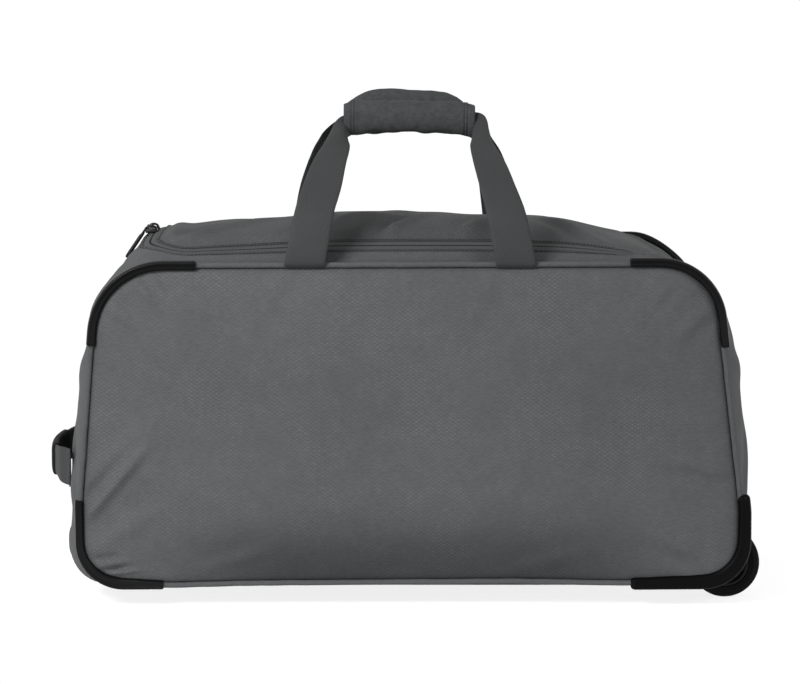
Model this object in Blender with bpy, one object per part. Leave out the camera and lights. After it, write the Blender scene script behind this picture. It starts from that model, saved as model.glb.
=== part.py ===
"""Two-wheeled rolling duffel bag: soft panel body, U-zip lid, carry handles,
corner guards, wheel housings and a two-stage pull handle in the base.
Metres, +Z up, +X is the wheel end, -Y is the front."""
import math
import bpy
import bmesh
from mathutils import Vector

for ob in list(bpy.data.objects):
    bpy.data.objects.remove(ob, do_unlink=True)

# ------------------------------------------------------------- dimensions
SEAM_Y = 0.155            # front and rear seam planes at -SEAM_Y and +SEAM_Y
BAND_Y = 0.150            # half width of the gusset band
FABRIC = 0.004            # padded fabric thickness
FRONT_BULGE = 0.020       # how far the front and rear panels belly out
GUSSET_OUT = 0.003        # gusset skin outside the seam line
PIPE_R = 0.0027           # piping radius
ZIP_Y = 0.124             # zip line to each side of the middle
ZIP_X_LEFT = -0.249       # zip line at the handle end
ZIP_R = 0.045             # zip corner radius
HINGE_X = 0.240           # lid hinge line
HINGE_Z = 0.3625
WHEEL_X, WHEEL_R, WHEEL_W = 0.324, 0.035, 0.025
WHEEL_Y = 0.103           # wheel mid plane
TUBE_Y, TUBE_Z = 0.052, 0.0400
GRIP_X0, GRIP_X1 = -0.3355, -0.3185
RAIL_Y = 0.043

# outline corners of the front seam: x, z, fillet radius
CORNERS = [
    (-0.3115, 0.0235, 0.040),
    (0.3340, 0.0285, 0.036),
    (0.3336, 0.0950, 0.060),
    (0.3044, 0.3360, 0.058),
    (-0.2936, 0.3340, 0.068),
    (-0.3120, 0.1050, 0.150),
]


def fillet_path(corners, seg=8):
    pts = []
    n = len(corners)
    for i in range(n):
        p0, p1, p2 = (Vector(corners[(i + k - 1) % n][:2]) for k in range(3))
        r = corners[i][2]
        a = (p0 - p1).normalized()
        b = (p2 - p1).normalized()
        half = a.angle(b) / 2
        d = r / math.tan(half)
        c = p1 + (a + b).normalized() * (r / math.sin(half))
        s, e = p1 + a * d - c, p1 + b * d - c
        t = s.angle_signed(e)
        m = max(2, int(seg * abs(t) / (math.pi / 2)) + 1)
        for k in range(m + 1):
            ang = -t * k / m
            pts.append(c + Vector((s.x * math.cos(ang) - s.y * math.sin(ang),
                                   s.x * math.sin(ang) + s.y * math.cos(ang))))
    return pts


PATH = fillet_path(CORNERS, 24)
CUM = [0.0]
for i in range(len(PATH)):
    CUM.append(CUM[-1] + (PATH[(i + 1) % len(PATH)] - PATH[i]).length)
TOTAL = CUM[-1]


def at(s):
    """Point and outward normal of the seam outline at run s."""
    s %= TOTAL
    lo, hi = 0, len(PATH)
    while hi - lo > 1:
        mid = (lo + hi) // 2
        if CUM[mid] <= s:
            lo = mid
        else:
            hi = mid
    a, b = PATH[lo], PATH[(lo + 1) % len(PATH)]
    L = max(CUM[lo + 1] - CUM[lo], 1e-9)
    p = a.lerp(b, (s - CUM[lo]) / L)
    e = 0.004

    def raw(q):
        q %= TOTAL
        k = max(j for j in range(len(PATH)) if CUM[j] <= q)
        a2, b2 = PATH[k], PATH[(k + 1) % len(PATH)]
        return a2.lerp(b2, (q - CUM[k]) / max(CUM[k + 1] - CUM[k], 1e-9))
    t = (raw(s + e) - raw(s - e)).normalized()
    return p, Vector((t.y, -t.x))


def find(test):
    """Run of the outline point that minimises test(x, z)."""
    best, bs = 1e9, 0.0
    for k in range(2400):
        s = TOTAL * k / 2400
        p, _ = at(s)
        v = test(p.x, p.y)
        if v < best:
            best, bs = v, s
    return bs


def smooth(a, b, x):
    t = min(1.0, max(0.0, (x - a) / (b - a)))
    return t * t * (3 - 2 * t)


def bulge(x, z):
    """Swell of the gusset between the two seams."""
    top = smooth(0.285, 0.330, z)
    crown = 0.036 * (1 - (abs(x) / 0.36) ** 2.4)
    crown = 0.0065 + (max(crown, 0.010) - 0.0065) * smooth(-0.278, -0.246, x)
    near = smooth(0.262, 0.290, -x)
    low = 1 - smooth(0.03, 0.15, z) * (1 - near) - smooth(0.005, 0.07, z) * near
    side = 0.0270 if x > 0 else 0.0235
    side *= 1 - 0.55 * smooth(0.20, 0.31, z)
    return (1 - top) * (side * (1 - low) + 0.003 * low) + top * crown


def skin(s, y, depth=0.0):
    p, n = at(s)
    v = min(1.0, abs(y) / BAND_Y)
    o = GUSSET_OUT + bulge(p.x, p.y) * (1 - v ** 3) - depth
    return Vector((p.x + n.x * o, y, p.y + n.y * o))


def coarse_runs():
    """Runs shared by every piece along the outline: close on corners, wide on straights."""
    marks = []
    for q in fillet_path(CORNERS, 6):
        k = min(range(len(PATH)), key=lambda j: (PATH[j] - q).length)
        marks.append(CUM[k])
    marks = sorted(set(round(m, 5) for m in marks))
    out = []
    for i, m in enumerate(marks):
        nxt = marks[i + 1] if i + 1 < len(marks) else marks[0] + TOTAL
        if out and m - out[-1] < 0.003:
            continue
        out.append(m)
        cells = int((nxt - m) / 0.07)
        for c in range(1, cells + 1):
            out.append(m + (nxt - m) * c / (cells + 1))
    return sorted(s % TOTAL for s in out)


def stations(s0, s1):
    L = (s1 - s0) % TOTAL
    mid = sorted((s - s0) % TOTAL for s in RUNS)
    mid = [m for m in mid if 0.005 < m < L - 0.005]
    return [s0] + [s0 + m for m in mid] + [s0 + L]


RUNS = coarse_runs()


# ------------------------------------------------------------- helpers
def material(name, rgb, rough, metal=0.0):
    m = bpy.data.materials.get(name)
    if m is None:
        m = bpy.data.materials.new(name)
        m.use_nodes = True
        b = m.node_tree.nodes["Principled BSDF"]
        b.inputs["Base Color"].default_value = (*rgb, 1)
        b.inputs["Roughness"].default_value = rough
        b.inputs["Metallic"].default_value = metal
    return m


MATS = {
    "fabric": ((0.125, 0.122, 0.122), 0.85, 0.0),
    "webbing": ((0.075, 0.073, 0.073), 0.8, 0.0),
    "black": ((0.012, 0.012, 0.013), 0.45, 0.0),
    "rubber": ((0.015, 0.015, 0.016), 0.7, 0.0),
    "alloy": ((0.62, 0.63, 0.65), 0.3, 1.0),
    "steel": ((0.5, 0.5, 0.52), 0.25, 1.0),
    "board": ((0.05, 0.05, 0.05), 0.8, 0.0),
}


def add(name, bm, mat, origin=(0, 0, 0), smooth_deg=None):
    """Link a closed mesh whose faces point out as a named object."""
    bmesh.ops.remove_doubles(bm, verts=bm.verts, dist=1e-6)
    bmesh.ops.recalc_face_normals(bm, faces=bm.faces)
    if bm.calc_volume(signed=True) < 0:
        bmesh.ops.reverse_faces(bm, faces=bm.faces)
    o = Vector(origin)
    bmesh.ops.translate(bm, verts=bm.verts, vec=-o)
    me = bpy.data.meshes.new(name)
    bm.to_mesh(me)
    bm.free()
    ob = bpy.data.objects.new(name, me)
    bpy.context.scene.collection.objects.link(ob)
    ob.location = o
    me.materials.append(material(mat, *MATS[mat]))
    if smooth_deg:
        me.shade_smooth()
        me.set_sharp_from_angle(angle=math.radians(smooth_deg))
    return ob


def grid_solid(outer, inner):
    """Closed solid between two equal grids of points."""
    bm = bmesh.new()
    a = [[bm.verts.new(p) for p in row] for row in outer]
    b = [[bm.verts.new(p) for p in row] for row in inner]
    R, C = len(a), len(a[0])
    for i in range(R - 1):
        for j in range(C - 1):
            bm.faces.new((a[i][j], a[i][j + 1], a[i + 1][j + 1], a[i + 1][j]))
            bm.faces.new((b[i][j], b[i + 1][j], b[i + 1][j + 1], b[i][j + 1]))
    rim = [(i, 0) for i in range(R)] + [(R - 1, j) for j in range(1, C)]
    rim += [(i, C - 1) for i in range(R - 2, -1, -1)] + [(0, j) for j in range(C - 2, 0, -1)]
    for k in range(len(rim)):
        (i0, j0), (i1, j1) = rim[k], rim[(k + 1) % len(rim)]
        bm.faces.new((a[i0][j0], a[i1][j1], b[i1][j1], b[i0][j0]))
    return bm


def loft(rings, closed=False):
    """Closed solid through equal rings of points, capped unless closed."""
    bm = bmesh.new()
    vs = [[bm.verts.new(p) for p in r] for r in rings]
    n, m = len(vs), len(vs[0])
    for i in range(n if closed else n - 1):
        for j in range(m):
            q, w = vs[i], vs[(i + 1) % n]
            bm.faces.new((q[j], q[(j + 1) % m], w[(j + 1) % m], w[j]))
    if not closed:
        bm.faces.new(vs[0])
        bm.faces.new(vs[-1])
        bmesh.ops.triangulate(bm, faces=[f for f in bm.faces if len(f.verts) > 4])
    return bm


def box(x0, x1, y0, y1, z0, z1, bev=0.0):
    bm = bmesh.new()
    bmesh.ops.create_cube(bm, size=1)
    for v in bm.verts:
        v.co = Vector((x0 + (v.co.x + .5) * (x1 - x0), y0 + (v.co.y + .5) * (y1 - y0),
                       z0 + (v.co.z + .5) * (z1 - z0)))
    if bev:
        bmesh.ops.bevel(bm, geom=bm.edges[:], offset=bev, segments=1, affect='EDGES')
    return bm


def ring(cx, cz, y0, y1, r_out, r_in, seg, phase=0.0, edge=0.0):
    """Turned ring about an axis along Y; r_in 0 gives a plain disc."""
    def circ(r, y):
        return [Vector((cx + r * math.cos(phase + 2 * math.pi * k / seg), y,
                        cz + r * math.sin(phase + 2 * math.pi * k / seg))) for k in range(seg)]
    if r_in <= 0:
        rows = [circ(r_out - edge, y0)]
        if edge:
            rows += [circ(r_out, y0 + edge), circ(r_out, y1 - edge)]
        return loft(rows + [circ(r_out - edge, y1)])
    rows = [circ(r_in, y0), circ(r_out - edge, y0)]
    if edge:
        rows += [circ(r_out, y0 + edge), circ(r_out, y1 - edge)]
    rows += [circ(r_out - edge, y1), circ(r_in, y1)]
    return loft(rows, closed=True)


def tube_x(x0, x1, y, z, r_out, r_in, seg=12):
    def circ(r, x):
        return [Vector((x, y + r * math.cos(2 * math.pi * k / seg),
                        z + r * math.sin(2 * math.pi * k / seg))) for k in range(seg)]
    return loft([circ(r_in, x0), circ(r_out, x0), circ(r_out, x1), circ(r_in, x1)], closed=True)


def boolean(ob, cutter_bm, op):
    """Cut, keep or join with another closed mesh, applied at once."""
    cut = add("cutter_tmp", cutter_bm, "board")
    m = ob.modifiers.new("b", 'BOOLEAN')
    m.operation, m.solver, m.object = op, 'EXACT', cut
    dg = bpy.context.evaluated_depsgraph_get()
    dg.update()
    me = bpy.data.meshes.new_from_object(ob.evaluated_get(dg))
    ob.modifiers.clear()
    old = ob.data
    ob.data = me
    bpy.data.meshes.remove(old)
    cm = cut.data
    bpy.data.objects.remove(cut, do_unlink=True)
    bpy.data.meshes.remove(cm)
    bm = bmesh.new()
    bm.from_mesh(me)
    bmesh.ops.remove_doubles(bm, verts=bm.verts, dist=1e-6)
    bmesh.ops.dissolve_degenerate(bm, edges=bm.edges, dist=1e-6)
    bm.to_mesh(me)
    bm.free()
    me.name = ob.name
    return ob


def prism(poly, z0, z1):
    return loft([[Vector((x, y, z0)) for x, y in poly], [Vector((x, y, z1)) for x, y in poly]])


def prism_y(poly, y0, y1):
    return loft([[Vector((x, y0, z)) for x, z in poly], [Vector((x, y1, z)) for x, z in poly]])


# ------------------------------------------------------------- outline stations
S_LEFT_TOP = find(lambda x, z: abs(z - 0.268) + (9 if x > 0 else 0))
S_LEFT_BOT = find(lambda x, z: abs(x + 0.262) + (9 if z > 0.1 else 0))
S_BASE_END = find(lambda x, z: abs(x - 0.2760) + (9 if z > 0.1 else 0))
S_CORNER_END = find(lambda x, z: abs(z - 0.0860) + (9 if x < 0 else 0))
S_RIGHT_TOP = find(lambda x, z: abs(z - 0.290) + (9 if x < 0 else 0))


def run(s0, s1):
    return s1 - s0 if s1 > s0 else s1 - s0 + TOTAL


def band(s0, s1, ny, y0=-BAND_Y, y1=BAND_Y, gap=0.0004):
    ss = stations(s0, s1)
    ss[0] += gap
    ss[-1] -= gap
    ys = [y0 + (y1 - y0) * k / ny for k in range(ny + 1)]
    return grid_solid([[skin(s, y) for y in ys] for s in ss],
                      [[skin(s, y, FABRIC) for y in ys] for s in ss])


# ------------------------------------------------------------- front and rear panels
def face_panel(name, side):
    count = len(RUNS)
    ring_pts = []
    for s in RUNS:
        p, n = at(s)
        ring_pts.append(p - n * 0.0012)
    c = Vector((0.005, 0.178))
    scales = [1.0, 0.93, 0.78, 0.5]
    bm = bmesh.new()

    def layer(off):
        rows = []
        for t in scales:
            y = SEAM_Y + FRONT_BULGE * (1 - t ** 3) - off
            rows.append([bm.verts.new((c.x + (p.x - c.x) * t, side * y, c.y + (p.y - c.y) * t))
                         for p in ring_pts])
        top = bm.verts.new((c.x, side * (SEAM_Y + FRONT_BULGE - off), c.y))
        for i in range(len(rows) - 1):
            for j in range(count):
                j2 = (j + 1) % count
                bm.faces.new((rows[i][j], rows[i][j2], rows[i + 1][j2], rows[i + 1][j]))
        for j in range(count):
            bm.faces.new((rows[-1][j], rows[-1][(j + 1) % count], top))
        return rows[0]
    a, b = layer(0.0), layer(FABRIC)
    for j in range(count):
        j2 = (j + 1) % count
        bm.faces.new((a[j], a[j2], b[j2], b[j]))
    add(name, bm, "fabric")


face_panel("front_panel", -1)
face_panel("rear_panel", 1)

# ------------------------------------------------------------- gusset band
def left_band():
    """Handle end runs from the base up to the top corner."""
    return band(S_LEFT_TOP, S_LEFT_BOT, 10)


# the outline runs anticlockwise seen from the front: base, wheel end, top, handle end
end = add("handle_end_panel", left_band(), "fabric")
boolean(end, box(-0.40, -0.2655, -0.0845, 0.0845, 0.004, 0.0785), 'DIFFERENCE')
add("base_panel", band(S_LEFT_BOT, S_BASE_END, 6), "fabric")
add("base_corner_panel", band(S_BASE_END, S_CORNER_END, 4, -0.0785, 0.0785), "fabric")
add("wheel_end_panel", band(S_CORNER_END, S_RIGHT_TOP, 8), "fabric")


def u_poly(off, x_right):
    """Plan outline of the U-shaped opening, grown by off."""
    xl, yh, r = ZIP_X_LEFT - off, ZIP_Y + off, ZIP_R + off
    pts = [(x_right, -yh)]
    for k in range(9):
        a = math.radians(270 - 90 * k / 8)
        pts.append((xl + r + r * math.cos(a), -yh + r + r * math.sin(a)))
    for k in range(9):
        a = math.radians(180 - 90 * k / 8)
        pts.append((xl + r + r * math.cos(a), yh - r + r * math.sin(a)))
    pts.append((x_right, yh))
    return pts


top = add("top_panel", band(S_RIGHT_TOP, S_LEFT_TOP, 12), "fabric")
boolean(top, prism(u_poly(0.0042, HINGE_X + 0.0015), 0.30, 0.42), 'DIFFERENCE')
lid = add("lid_panel", band(S_RIGHT_TOP, S_LEFT_TOP, 12), "fabric")
boolean(lid, prism(u_poly(-0.0042, HINGE_X - 0.0015), 0.30, 0.42), 'INTERSECT')


def top_z(x, y):
    """Height of the top skin over a plan point."""
    best, bz = 1e9, 0.35
    L = run(S_RIGHT_TOP, S_LEFT_TOP)
    for k in range(500):
        p = skin(S_RIGHT_TOP + L * k / 499, y)
        if abs(p.x - x) < best:
            best, bz = abs(p.x - x), p.z
    return bz


def zip_track(name, off):
    line = u_poly(off, HINGE_X - 0.006)
    mid = [line[0]]
    for k in range(1, 4):
        mid.append((line[0][0] + (line[1][0] - line[0][0]) * k / 4, line[0][1]))
    mid += line[1:-1]
    for k in range(3, 0, -1):
        mid.append((line[-1][0] + (line[-2][0] - line[-1][0]) * k / 4, line[-1][1]))
    mid.append(line[-1])
    rings = []
    for i, (x, y) in enumerate(mid):
        a, b = mid[max(i - 1, 0)], mid[min(i + 1, len(mid) - 1)]
        t = Vector((b[0] - a[0], b[1] - a[1])).normalized()
        n = Vector((t.y, -t.x)) * 0.0014
        z = top_z(x, y)
        rings.append([Vector((x - n.x, y - n.y, z - 0.0030)), Vector((x + n.x, y + n.y, z - 0.0030)),
                      Vector((x + n.x, y + n.y, z + 0.0004)), Vector((x - n.x, y - n.y, z + 0.0004))])
    add(name, loft(rings), "black")


zip_track("zip_track_body", 0.0020)
zip_track("zip_track_lid", -0.0020)

# ------------------------------------------------------------- piping and guards
def piping(name, side):
    rings = []
    for s in RUNS:
        p, n = at(s)
        ring_ = []
        for j in range(6):
            a = 2 * math.pi * j / 6
            o = 0.0029 + PIPE_R * math.cos(a)
            y = SEAM_Y + 0.0015 + PIPE_R * math.sin(a)
            ring_.append(Vector((p.x + n.x * o, side * y, p.y + n.y * o)))
        rings.append(ring_)
    add(name, loft(rings, closed=True), "webbing")


piping("front_piping", -1)
piping("rear_piping", 1)

# guard section: distance out from the seam, distance forward of the seam plane (mm)
GUARD = [(0.0, 5.9), (3.2, 7.4), (7.2, 6.6), (10.2, 3.0), (10.4, -1.8), (8.2, -4.2), (1.0, -4.2),
         (1.6, -2.2), (4.6, -1.6), (6.6, 1.5), (4.8, 4.7), (1.4, 5.0)]


def guard_mesh(s0, s1, side, grow=1.0):
    rings = []
    for s in stations(s0, s1):
        p, n = at(s)
        ring_ = []
        for a, b in GUARD:
            o = a * 0.001 * (grow if a > 7 else 1.0)
            ring_.append(Vector((p.x + n.x * o, side * (SEAM_Y + b * 0.001), p.y + n.y * o)))
        rings.append(ring_)
    return loft(rings)


G = {
    "top_handle_end": (find(lambda x, z: abs(x + 0.199) + (9 if z < 0.2 else 0)),
                       find(lambda x, z: abs(z - 0.258) + (9 if x > 0 else 0))),
    "top_wheel_end": (find(lambda x, z: abs(z - 0.256) + (9 if x < 0 else 0)),
                      find(lambda x, z: abs(x - 0.224) + (9 if z < 0.2 else 0))),
    "base_handle_end": (find(lambda x, z: abs(z - 0.105) + (9 if x > 0 else 0)),
                        find(lambda x, z: abs(x + 0.233) + (9 if z > 0.2 else 0))),
}
for key, (s0, s1) in G.items():
    for tag, side in (("front", -1), ("rear", 1)):
        add("corner_guard_%s_%s" % (key, tag), guard_mesh(s0, s1, side), "black")

# ------------------------------------------------------------- wheels and housings
S_ARM0 = find(lambda x, z: abs(x - 0.227) + (9 if z > 0.1 else 0))
S_ARM1 = find(lambda x, z: abs(z - 0.110) + (9 if x < 0 else 0))


def corner_poly(x0, x1, z0, z1, r):
    pts = [(x0, z0)]
    for k in range(9):
        a = math.radians(-90 + 90 * k / 8)
        pts.append((x1 - r + r * math.cos(a), z0 + r + r * math.sin(a)))
    return pts + [(x1, z1), (x0, z1)]


for tag, side in (("front", -1), ("rear", 1)):
    def ys(a, b):
        return (side * a, side * b) if side > 0 else (side * b, side * a)
    add("wheel_guard_" + tag, guard_mesh(S_ARM0, S_ARM1, side, 1.10), "black")
    shell = add("wheel_housing_" + tag, prism_y(corner_poly(0.2785, 0.3446, 0.0180, 0.0830, 0.037), *ys(0.0800, 0.1500)), "black")
    boolean(shell, prism_y(corner_poly(0.2000, 0.3405, 0.0222, 0.1200, 0.033), *ys(0.1270, 0.1600)), 'DIFFERENCE')
    boolean(shell, ring(WHEEL_X, WHEEL_R, *ys(0.0835, 0.1225), 0.0385, 0, 24), 'DIFFERENCE')
    boolean(shell, ring(WHEEL_X, WHEEL_R, *ys(0.07, 0.1300), 0.0044, 0, 12), 'DIFFERENCE')
    ax = (WHEEL_X, side * WHEEL_Y, WHEEL_R)
    add("wheel_axle_" + tag, ring(WHEEL_X, WHEEL_R, *ys(0.0795, 0.1272), 0.0040, 0, 12), "steel", ax)
    add("wheel_tyre_" + tag, ring(WHEEL_X, WHEEL_R, *ys(WHEEL_Y - WHEEL_W / 2, WHEEL_Y + WHEEL_W / 2),
                                  WHEEL_R, 0.0243, 40, 0.0, 0.003), "rubber", ax, 40)
    hub = add("wheel_hub_" + tag, ring(WHEEL_X, WHEEL_R, *ys(WHEEL_Y - 0.0115, WHEEL_Y + 0.0115),
                                       0.0237, 0.0046, 24, 0, 0.002), "black", ax, 40)

# ------------------------------------------------------------- base, rails, pull handle
add("base_board", box(-0.2600, 0.2700, -0.1400, 0.1400, 0.0560, 0.0600), "board")
for tag, side in (("front", -1), ("rear", 1)):
    y = side * RAIL_Y
    add("base_rail_" + tag, prism_y([(-0.250, 0.0168), (-0.238, 0.0), (0.196, 0.0), (0.212, 0.0198)],
                                    y - 0.006, y + 0.006), "black")
    yt = side * TUBE_Y
    add("trolley_outer_tube_" + tag, tube_x(-0.2695, 0.215, yt, TUBE_Z, 0.0105, 0.0094), "alloy")
    add("trolley_mid_tube_" + tag, tube_x(-0.2900, 0.205, yt, TUBE_Z, 0.0087, 0.0077), "alloy", (-0.29, yt, TUBE_Z))
    add("trolley_inner_tube_" + tag, tube_x(GRIP_X1 + 0.0004, 0.195, yt, TUBE_Z, 0.0070, 0.0058), "alloy",
        (GRIP_X1, yt, TUBE_Z))
add("trolley_end_bracket", box(0.2154, 0.2450, -0.0680, 0.0680, 0.0290, 0.0530, 0.002), "black")
tray = add("trolley_recess_tray", box(-0.3330, -0.2700, -0.0840, 0.0840, 0.0165, 0.0780), "black")
rim = []
for s in RUNS:
    p, n = at(s)
    rim.append((p.x + n.x * 0.021, p.y + n.y * 0.021))
boolean(tray, prism_y(rim, -0.2, 0.2), 'INTERSECT')
boolean(tray, box(-0.3600, -0.2730, -0.0810, 0.0810, 0.0195, 0.0750), 'DIFFERENCE')
for side in (-1, 1):
    boolean(tray, loft([[Vector((x, side * TUBE_Y + 0.0094 * math.cos(math.pi * k / 6), TUBE_Z + 0.0094 * math.sin(math.pi * k / 6)))
                   for k in range(12)] for x in (-0.290, -0.262)]), 'DIFFERENCE')
grip = add("trolley_grip", box(GRIP_X0, GRIP_X1, -0.0680, 0.0680, 0.0300, 0.0665, 0.006), "black", (GRIP_X1, 0, TUBE_Z))
boolean(grip, box(-0.3600, -0.3290, -0.0185, 0.0185, 0.0386, 0.0576), 'DIFFERENCE')
add("trolley_button", box(-0.3370, -0.3326, -0.0181, 0.0181, 0.0390, 0.0572, 0.0008), "black", (-0.3370, 0, 0.0481))

# ------------------------------------------------------------- carry handles
def strap_line(side, x_shift):
    """Left base, up over the lid, through the grip and down to the right base."""
    left = [(-0.0925, 0.1628, 0.3340), (-0.0885, 0.1612, 0.3600), (-0.0830, 0.1540, 0.3880), (-0.0770, 0.1330, 0.4110),
            (-0.0725, 0.0980, 0.4320), (-0.0700, 0.0480, 0.4520), (-0.0635, 0.0155, 0.4700), (-0.0540, 0.0135, 0.4722),
            (-0.0350, 0.0132, 0.4726)]
    right = [(0.1125, 0.1628, 0.3340), (0.1085, 0.1612, 0.3600), (0.1035, 0.1540, 0.3880), (0.0975, 0.1330, 0.4110),
             (0.0920, 0.0980, 0.4320), (0.0890, 0.0480, 0.4520), (0.0825, 0.0155, 0.4700), (0.0730, 0.0135, 0.4722),
             (0.0540, 0.0132, 0.4726)]
    return [Vector((x + x_shift, side * y, z)) for x, y, z in left + right[::-1]]


def strap(name, side, x_shift):
    c = strap_line(side, x_shift)
    rings = []
    n = len(c)
    for i, p in enumerate(c):
        t = (c[min(i + 1, n - 1)] - c[max(i - 1, 0)]).normalized()
        k = min(i, n - 1 - i)
        flat = Vector((t.x, 0, t.z)).normalized()
        w = Vector((flat.z, 0, -flat.x))          # across the webbing, in the front view
        turn = 1 if i < n / 2 else -1
        if k == 5:
            w = Vector((0.7071 * turn, 0, -0.7071))
        elif k > 5:
            w = Vector((0, 0, -1))
        w = (w - t * w.dot(t)).normalized()
        if k == 0:
            w = Vector((1, 0, 0)) * (1 if i == 0 else -1)
        half = (0.020, 0.020, 0.020, 0.020, 0.0195, 0.0160, 0.0125, 0.0130, 0.0140)[k]
        h = t.cross(w).normalized() * 0.0011
        rings.append([p - w * half - h, p + w * half - h, p + w * half + h, p - w * half + h])
    add(name, loft(rings), "webbing", (0, side * 0.1628, 0.3340))


def sleeve(name, side, x0, x1, z0, z1, rise, mat):
    rings = []
    for k in range(9):
        t = k / 8
        x = x0 + (x1 - x0) * t
        dz = rise * (1 - (2 * t - 1) ** 4)
        rings.append([Vector((x, side * y, z + dz)) for y, z in
                      ((0.0035, z0 + 0.004), (0.0065, z0), (0.0195, z0), (0.0225, z0 + 0.004),
                       (0.0225, z1 - 0.004), (0.0195, z1), (0.0065, z1), (0.0035, z1 - 0.004))])
    ob = add(name, loft(rings), mat, (0, side * 0.1628, 0.3340))
    rings = []
    for k in range(9):
        x = x0 - 0.01 + (x1 - x0 + 0.02) * k / 8
        rings.append([Vector((x, side * y, z)) for y, z in
                      ((0.0090, 0.4550), (0.0180, 0.4550), (0.0180, 0.4900), (0.0090, 0.4900))])
    boolean(ob, loft(rings), 'DIFFERENCE')


strap("carry_strap_front", -1, 0.0)
strap("carry_strap_rear", 1, -0.004)
sleeve("grip_sleeve_front", -1, -0.0575, 0.0765, 0.4525, 0.4925, 0.0, "webbing")
sleeve("grip_sleeve_rear", 1, -0.0585, 0.0695, 0.4525, 0.4945, 0.0065, "webbing")

# ------------------------------------------------------------- side grab handle
def end_skin_x(y):
    """Outermost skin of the handle end over the strap's height."""
    L = run(S_LEFT_TOP, S_LEFT_BOT)
    xs = [skin(S_LEFT_TOP + L * k / 200, y) for k in range(201)]
    return min(q.x for q in xs if 0.106 < q.z < 0.158)


def side_line():
    pts = [Vector((end_skin_x(y) - 0.0024, y, 0.132)) for y in (-0.098, -0.086)]
    pts += [Vector((x, y, 0.132)) for y, x in ((-0.072, -0.3440), (-0.058, -0.3510), (-0.045, -0.3543), (0.0, -0.3548),
                                               (0.045, -0.3543), (0.058, -0.3510), (0.072, -0.3440))]
    return pts + [Vector((end_skin_x(y) - 0.0024, y, 0.132)) for y in (0.086, 0.098)]


c = side_line()
rings = []
for i, p in enumerate(c):
    t = (c[min(i + 1, len(c) - 1)] - c[max(i - 1, 0)]).normalized()
    h = Vector((t.y, -t.x, 0)) * 0.0012
    u = Vector((0, 0, 0.018))
    rings.append([p - u - h, p + u - h, p + u + h, p - u + h])
# stand the ends off the end panel's skin
add("side_handle_strap", loft(rings), "webbing")
sg = add("side_handle_grip", box(-0.3590, -0.3510, -0.0440, 0.0440, 0.1100, 0.1540, 0.002), "black")
boolean(sg, box(-0.3566, -0.3526, -0.06, 0.06, 0.1130, 0.1510), 'DIFFERENCE')

# ------------------------------------------------------------- zip sliders and pulls
for tag, side in (("front", -1), ("rear", 1)):
    y = side * 0.014
    z = top_z(-0.2515, y) + 0.0009
    add("zip_slider_" + tag, box(-0.2585, -0.2497, y - 0.006, y + 0.006, z, z + 0.0060, 0.001), "black",
        (-0.2585, y, z))
    a = Vector((-0.2594, y, z + 0.0030))
    d = Vector((-0.0150, 0, -0.0185)).normalized()
    nrm = Vector((d.z, 0, -d.x)) * 0.0009
    rings = []
    for dist, hw in ((0.0, 0.0030), (0.006, 0.0045), (0.020, 0.0045), (0.024, 0.0030)):
        q = a + d * dist
        w = Vector((0, hw, 0))
        rings.append([q - w - nrm, q + w - nrm, q + w + nrm, q - w + nrm])
    add("zip_pull_" + tag, loft(rings), "black", a)
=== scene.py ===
import math
import bpy
import bmesh
import numpy as np
from mathutils import Vector, Matrix, noise


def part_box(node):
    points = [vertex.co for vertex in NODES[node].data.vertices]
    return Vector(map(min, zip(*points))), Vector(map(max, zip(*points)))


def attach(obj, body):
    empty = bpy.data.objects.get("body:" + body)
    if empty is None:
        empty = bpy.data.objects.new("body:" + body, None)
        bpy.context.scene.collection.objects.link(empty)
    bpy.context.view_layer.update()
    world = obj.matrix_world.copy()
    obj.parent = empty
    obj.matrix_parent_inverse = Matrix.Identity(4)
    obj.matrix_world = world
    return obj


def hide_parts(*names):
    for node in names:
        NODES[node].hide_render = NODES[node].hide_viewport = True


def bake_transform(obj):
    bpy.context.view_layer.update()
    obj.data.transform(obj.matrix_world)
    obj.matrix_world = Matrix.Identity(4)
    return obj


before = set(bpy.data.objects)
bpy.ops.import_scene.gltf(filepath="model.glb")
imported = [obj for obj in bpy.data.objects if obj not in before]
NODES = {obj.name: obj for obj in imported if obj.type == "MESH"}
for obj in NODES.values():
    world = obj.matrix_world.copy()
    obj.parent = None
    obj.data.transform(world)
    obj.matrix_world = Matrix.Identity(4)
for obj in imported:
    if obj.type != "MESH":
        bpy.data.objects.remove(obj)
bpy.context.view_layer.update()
scene = bpy.context.scene

# ---------------------------------------------------------------- dimensions shared with the solids
SEAM_Y, BAND_Y = 0.155, 0.150
ZIP_Y, ZIP_XL, ZIP_R = 0.124, -0.249, 0.045
HINGE_X, HINGE_Z = 0.240, 0.3625
WHEEL_X, WHEEL_R, WHEEL_Y, WHEEL_W = 0.324, 0.035, 0.103, 0.025
CORNERS = [(-0.3115, 0.0235, 0.040), (0.3340, 0.0285, 0.036), (0.3336, 0.0950, 0.060),
           (0.3044, 0.3360, 0.058), (-0.2936, 0.3340, 0.068), (-0.3120, 0.1050, 0.150)]


def fillet_path(corners, seg=24):
    pts = []
    n = len(corners)
    for i in range(n):
        p0, p1, p2 = (Vector(corners[(i + k - 1) % n][:2]) for k in range(3))
        r = corners[i][2]
        a = (p0 - p1).normalized()
        b = (p2 - p1).normalized()
        half = a.angle(b) / 2
        d = r / math.tan(half)
        c = p1 + (a + b).normalized() * (r / math.sin(half))
        s, e = p1 + a * d - c, p1 + b * d - c
        t = s.angle_signed(e)
        m = max(2, int(seg * abs(t) / (math.pi / 2)) + 1)
        for k in range(m + 1):
            ang = -t * k / m
            pts.append((c.x + s.x * math.cos(ang) - s.y * math.sin(ang), c.y + s.x * math.sin(ang) + s.y * math.cos(ang)))
    return np.array(pts)


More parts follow.
